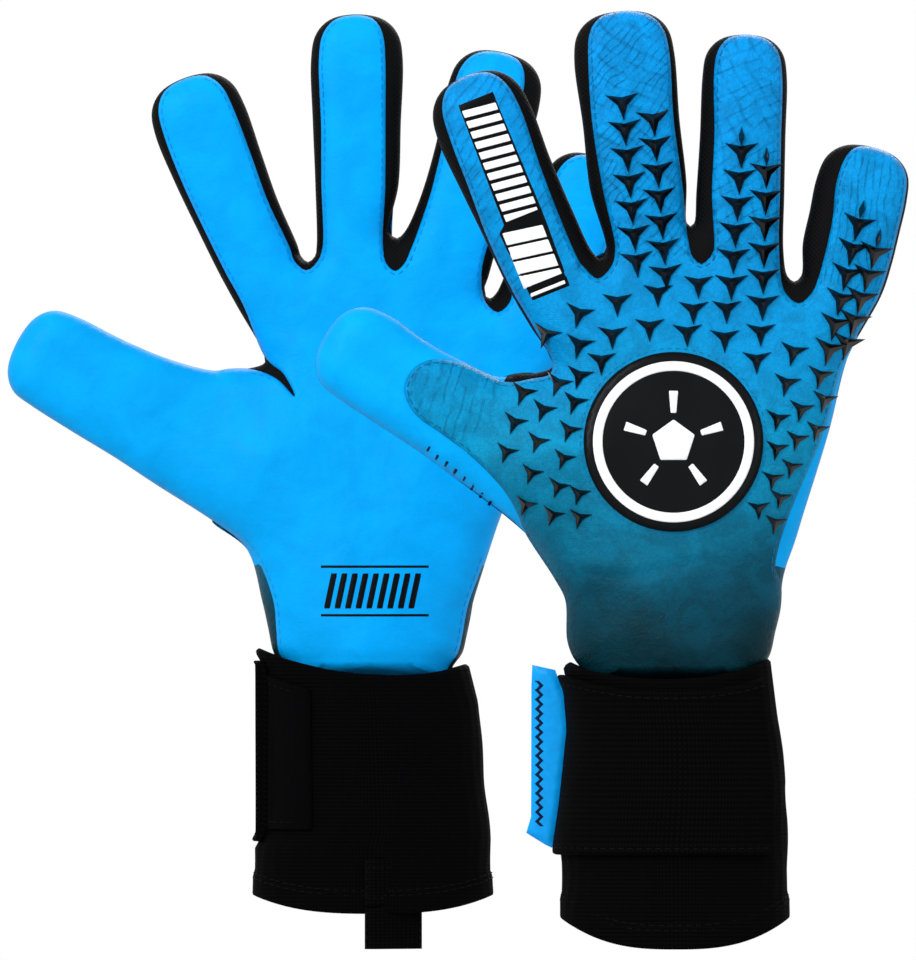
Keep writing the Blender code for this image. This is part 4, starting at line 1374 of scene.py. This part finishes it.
def fabric_look(name, lines):
    """The backhand's stretch fabric: blue fading to petrol at the wrist, embossed and engraved, with
    painted shade darkening its crackle creases and engraved lines.
    """
    look = Look(name, (20, 130, 210), 0.46, Specular_IOR_Level=0.07)
    split = look.node("ShaderNodeSeparateXYZ")
    look.link(look.mm, split.inputs[0])
    drift = look.remap(look.noise(0.03, 1.0), 0.3, 0.7, -7.0, 7.0)
    height = look.maths("ADD", split.outputs["Y"], drift)
    colour = look.ramp(look.maths("DIVIDE", look.maths("SUBTRACT", height, 84.0), 200.0), BACK_STOPS)
    patchy = look.remap(look.noise(0.11, 4.0, distortion=1.2), 0.3, 0.7)
    colour = look.shade(colour, patchy, 0.86, 1.1)
    crackle = look.cells(0.62, "DISTANCE_TO_EDGE", look.turned(18, (1.0, 0.7)))
    creases_and_shade = look.remap(crackle, 0.0, 0.14)
    # the crackle's creases are painted darker: painted shade
    colour = look.shade(colour, creases_and_shade, 0.9, 1.0)
    look.emboss(creases_and_shade, 0.05)
    look.emboss(look.noise(0.55, 6.0, distortion=0.8), 0.42)
    for pitch, degrees, wobble, depth in lines:
        grooves_and_shade = look.remap(look.waves(pitch, degrees, wobble, 0.5), 0.0, 0.2)
        faded = look.remap(look.noise(0.16, 3.0), 0.42, 0.6)
        grooves_and_shade = look.maths("MAXIMUM", grooves_and_shade, look.maths("MULTIPLY", faded, 0.75))
        # each engraved line is painted darker in its groove: painted shade
        colour = look.shade(colour, grooves_and_shade, 0.78, 1.0)
        look.emboss(grooves_and_shade, depth)
    weave = look.maths("MULTIPLY", look.waves(0.7, 0), look.waves(0.7, 90))
    look.emboss(weave, 0.05)
    look.link(look.remap(patchy, 0.0, 1.0, 0.36, 0.5), look.shader.inputs["Roughness"])
    return look.material


def latex_look():
    """Smooth palm foam: fine pores painted darker in their dimples as painted shade, faint mottling and a
    soft satin surface.
    """
    look = Look("palm_latex", LATEX, 0.5, Specular_IOR_Level=0.05)
    mottle = look.remap(look.noise(0.07, 5.0, distortion=0.7), 0.25, 0.75)
    colour = look.shade(linear(LATEX), mottle, 0.93, 1.05)
    pores_and_shade = look.remap(look.cells(2.3), 0.0, 0.28)
    # the pores are painted darker where they dip: painted shade
    look.shade(colour, pores_and_shade, 0.9, 1.0)
    look.emboss(pores_and_shade, 0.025)
    look.emboss(look.noise(1.6, 5.0), 0.10)
    look.emboss(look.noise(0.16, 3.0), 0.5)
    look.link(look.remap(mottle, 0.0, 1.0, 0.44, 0.56), look.shader.inputs["Roughness"])
    return look.material


def gusset_look():
    look = Look("gusset_mesh", (3, 3, 4), 0.72, Specular_IOR_Level=0.1)
    holes_and_shade = look.remap(look.cells(0.95, place=look.turned(45), randomness=0.12), 0.1, 0.5)
    look.emboss(holes_and_shade, -0.12)
    # the mesh is painted darker in its sunken holes and lighter on the threads between: painted shade
    look.shade(linear((7, 7, 9)), holes_and_shade, 1.3, 0.3)
    look.emboss(look.noise(2.0, 3.0), 0.08)
    return look.material


def ribbed_look(name, colour, pitch, cross, roughness=0.85):
    """Knitted or woven elastic: ribs across, and finer yarns between them, painted lighter on their raised
    tops and darker between them as painted shade.
    """
    look = Look(name, colour, roughness, Specular_IOR_Level=0.04)
    ribs = look.waves(pitch, 90, 0.15, 0.4)
    yarns = look.waves(cross, 0, 0.3, 0.6)
    look.emboss(ribs, 0.12)
    look.emboss(yarns, 0.06)
    # colour follows the ribs' and yarns' relief: painted highlight on the tops, painted shade between them
    look.shade(linear(colour), look.maths("MULTIPLY", ribs, yarns), 0.3, 1.6)
    look.emboss(look.noise(0.25, 3.0), 0.35)
    return look.material


def plain_look(name, colour, roughness, grain=0.05, scale=1.5, **more):
    look = Look(name, colour, roughness, **more)
    worn = look.remap(look.noise(0.3, 5.0), 0.3, 0.75)
    look.shade(linear(colour), worn, 0.93, 1.04)
    look.emboss(look.noise(scale, 4.0), grain)
    return look.material


def make_materials():
    found = {"latex": latex_look(), "gusset": gusset_look(), "back": fabric_look("backhand_fabric", ())}
    for name, lines in BACK_LINES.items():
        found[f"back_{name}"] = fabric_look(f"backhand_{name}", lines)
    found["cuff"] = ribbed_look("elastic_knit", (4, 4, 5), 1.3, 0.8)
    found["strap"] = ribbed_look("strap_elastic", (4, 4, 5), 1.8, 1.0)
    found["webbing"] = ribbed_look("pull_webbing", (6, 6, 7), 1.1, 1.4)
    found["loops"] = plain_look("loop_pile", (3, 3, 4), 0.95, 0.5, 3.0, Specular_IOR_Level=0.05)
    found["hooks"] = plain_look("hook_tape", (8, 8, 9), 0.6, 0.6, 2.6, Specular_IOR_Level=0.1)
    found["thread"] = plain_look("sewing_thread", (6, 104, 160), 0.6, Specular_IOR_Level=0.1)
    found["palm_thread"] = plain_look("palm_thread", (0, 132, 214), 0.55, Specular_IOR_Level=0.1)
    found["cuff_thread"] = plain_look("cuff_thread", (13, 13, 15), 0.6, Specular_IOR_Level=0.05)
    found["stud"] = plain_look("stud_rubber", (3, 3, 4), 0.2, 0.02, 2.0, Specular_IOR_Level=0.4)
    found["badge"] = plain_look("badge_rubber", (3, 4, 7), 0.42, 0.02, 2.4, Specular_IOR_Level=0.12)
    found["white"] = plain_look("print_white", (243, 245, 247), 0.45, 0.02, Specular_IOR_Level=0.1)
    found["print_dark"] = plain_look("print_black", (4, 5, 7), 0.45, 0.02, Specular_IOR_Level=0.08)
    found["print_blue"] = plain_look("print_blue", (3, 24, 58), 0.45, 0.02, Specular_IOR_Level=0.1)
    found["tab"] = plain_look("strap_end_rubber", (0, 160, 242), 0.38, 0.03, 1.2, Specular_IOR_Level=0.12)
    return found


def make_stage():
    """A white floor, a white surround and soft light from the upper left."""
    world = bpy.data.worlds.new("surround")
    bpy.context.scene.world = world
    world.use_nodes = True
    tree = world.node_tree
    tree.nodes.clear()
    path = tree.nodes.new("ShaderNodeLightPath")
    mix = tree.nodes.new("ShaderNodeMixShader")
    out = tree.nodes.new("ShaderNodeOutputWorld")
    for k, strength in ((1, WORLD_LIGHT), (2, 1.0)):
        glow = tree.nodes.new("ShaderNodeBackground")
        glow.inputs["Color"].default_value = (1, 1, 1, 1)
        glow.inputs["Strength"].default_value = strength
        tree.links.new(glow.outputs[0], mix.inputs[k])
    tree.links.new(path.outputs["Is Camera Ray"], mix.inputs[0])
    tree.links.new(mix.outputs[0], out.inputs[0])

    mesh = bpy.data.meshes.new("floor")
    size, low = 6.0, FLOOR * MM
    corners = [(-size, -size, low), (size, -size, low), (size, size, low), (-size, size, low)]
    mesh.from_pydata(corners, [], [(0, 1, 2, 3)])
    floor = bpy.data.objects.new("floor", mesh)
    bpy.context.scene.collection.objects.link(floor)
    material = bpy.data.materials.new("floor_white")
    material.use_nodes = True
    nodes = material.node_tree.nodes
    shader = nodes["Principled BSDF"]
    shader.inputs["Base Color"].default_value = (0.55, 0.55, 0.55, 1)
    shader.inputs["Roughness"].default_value = 1.0
    glow = nodes.new("ShaderNodeEmission")
    glow.inputs["Strength"].default_value = 1.0
    path = nodes.new("ShaderNodeLightPath")
    mix = nodes.new("ShaderNodeMixShader")
    links = material.node_tree.links
    links.new(path.outputs["Is Camera Ray"], mix.inputs[0])
    links.new(shader.outputs[0], mix.inputs[1])
    links.new(glow.outputs[0], mix.inputs[2])
    links.new(mix.outputs[0], nodes["Material Output"].inputs[0])
    mesh.materials.append(material)

    for name, place, size, power in LAMPS:
        data = bpy.data.lights.new(name, "AREA")
        data.shape = "DISK"
        data.size = size
        data.energy = power
        lamp = bpy.data.objects.new(name, data)
        lamp.location = place
        aim = Vector((-0.06, 0.08, 0.15)) - lamp.location
        lamp.rotation_euler = aim.to_track_quat("-Z", "Y").to_euler()
        bpy.context.scene.collection.objects.link(lamp)


def make_camera():
    """A long lens far in front, level with the middle of the gloves."""
    data = bpy.data.cameras.new("camera")
    data.sensor_fit = "HORIZONTAL"
    data.lens = data.sensor_width * CAMERA_AWAY / (VIEW_WIDTH * MM)
    data.clip_end = 50.0
    camera = bpy.data.objects.new("camera", data)
    camera.location = (CAMERA_PLACE[0] * MM, -CAMERA_AWAY, CAMERA_PLACE[1] * MM)
    camera.rotation_euler = (math.pi / 2, 0, 0)
    bpy.context.scene.collection.objects.link(camera)
    bpy.context.scene.camera = camera
    bpy.context.scene.view_settings.view_transform = "Standard"


JOINTS = {joint["name"]: joint for joint in frame["joints"]}
MATERIALS = make_materials()

for glove in [Glove(name) for name in GLOVES]:
    make_skin(glove)
    for kind in ("back", "palm"):
        make_panel(glove, kind)
    make_studs(glove)
    make_badge(glove)
    make_prints(glove)
    make_cuff(glove)
    strap_low = max(STRAP_LOW, glove.rim + STRAP_ABOVE_RIM)
    wrapped(
        glove, "wrist_band", STRAP_SPAN[glove.name], (strap_low, STRAP_HIGH), 0.35, 2.0, "strap",
        "wrist_strap", roll=STRAP_ROLL[glove.name],
    )
    wrapped(
        glove, "loop_pad", LOOP_SPAN, (strap_low + LOOP_INSET, STRAP_HIGH - LOOP_INSET), 0.3, 1.2, "loops",
        "loop_patch",
    )
    make_tab(glove, strap_low)
    make_pull_tab(glove)

make_stage()
make_camera()
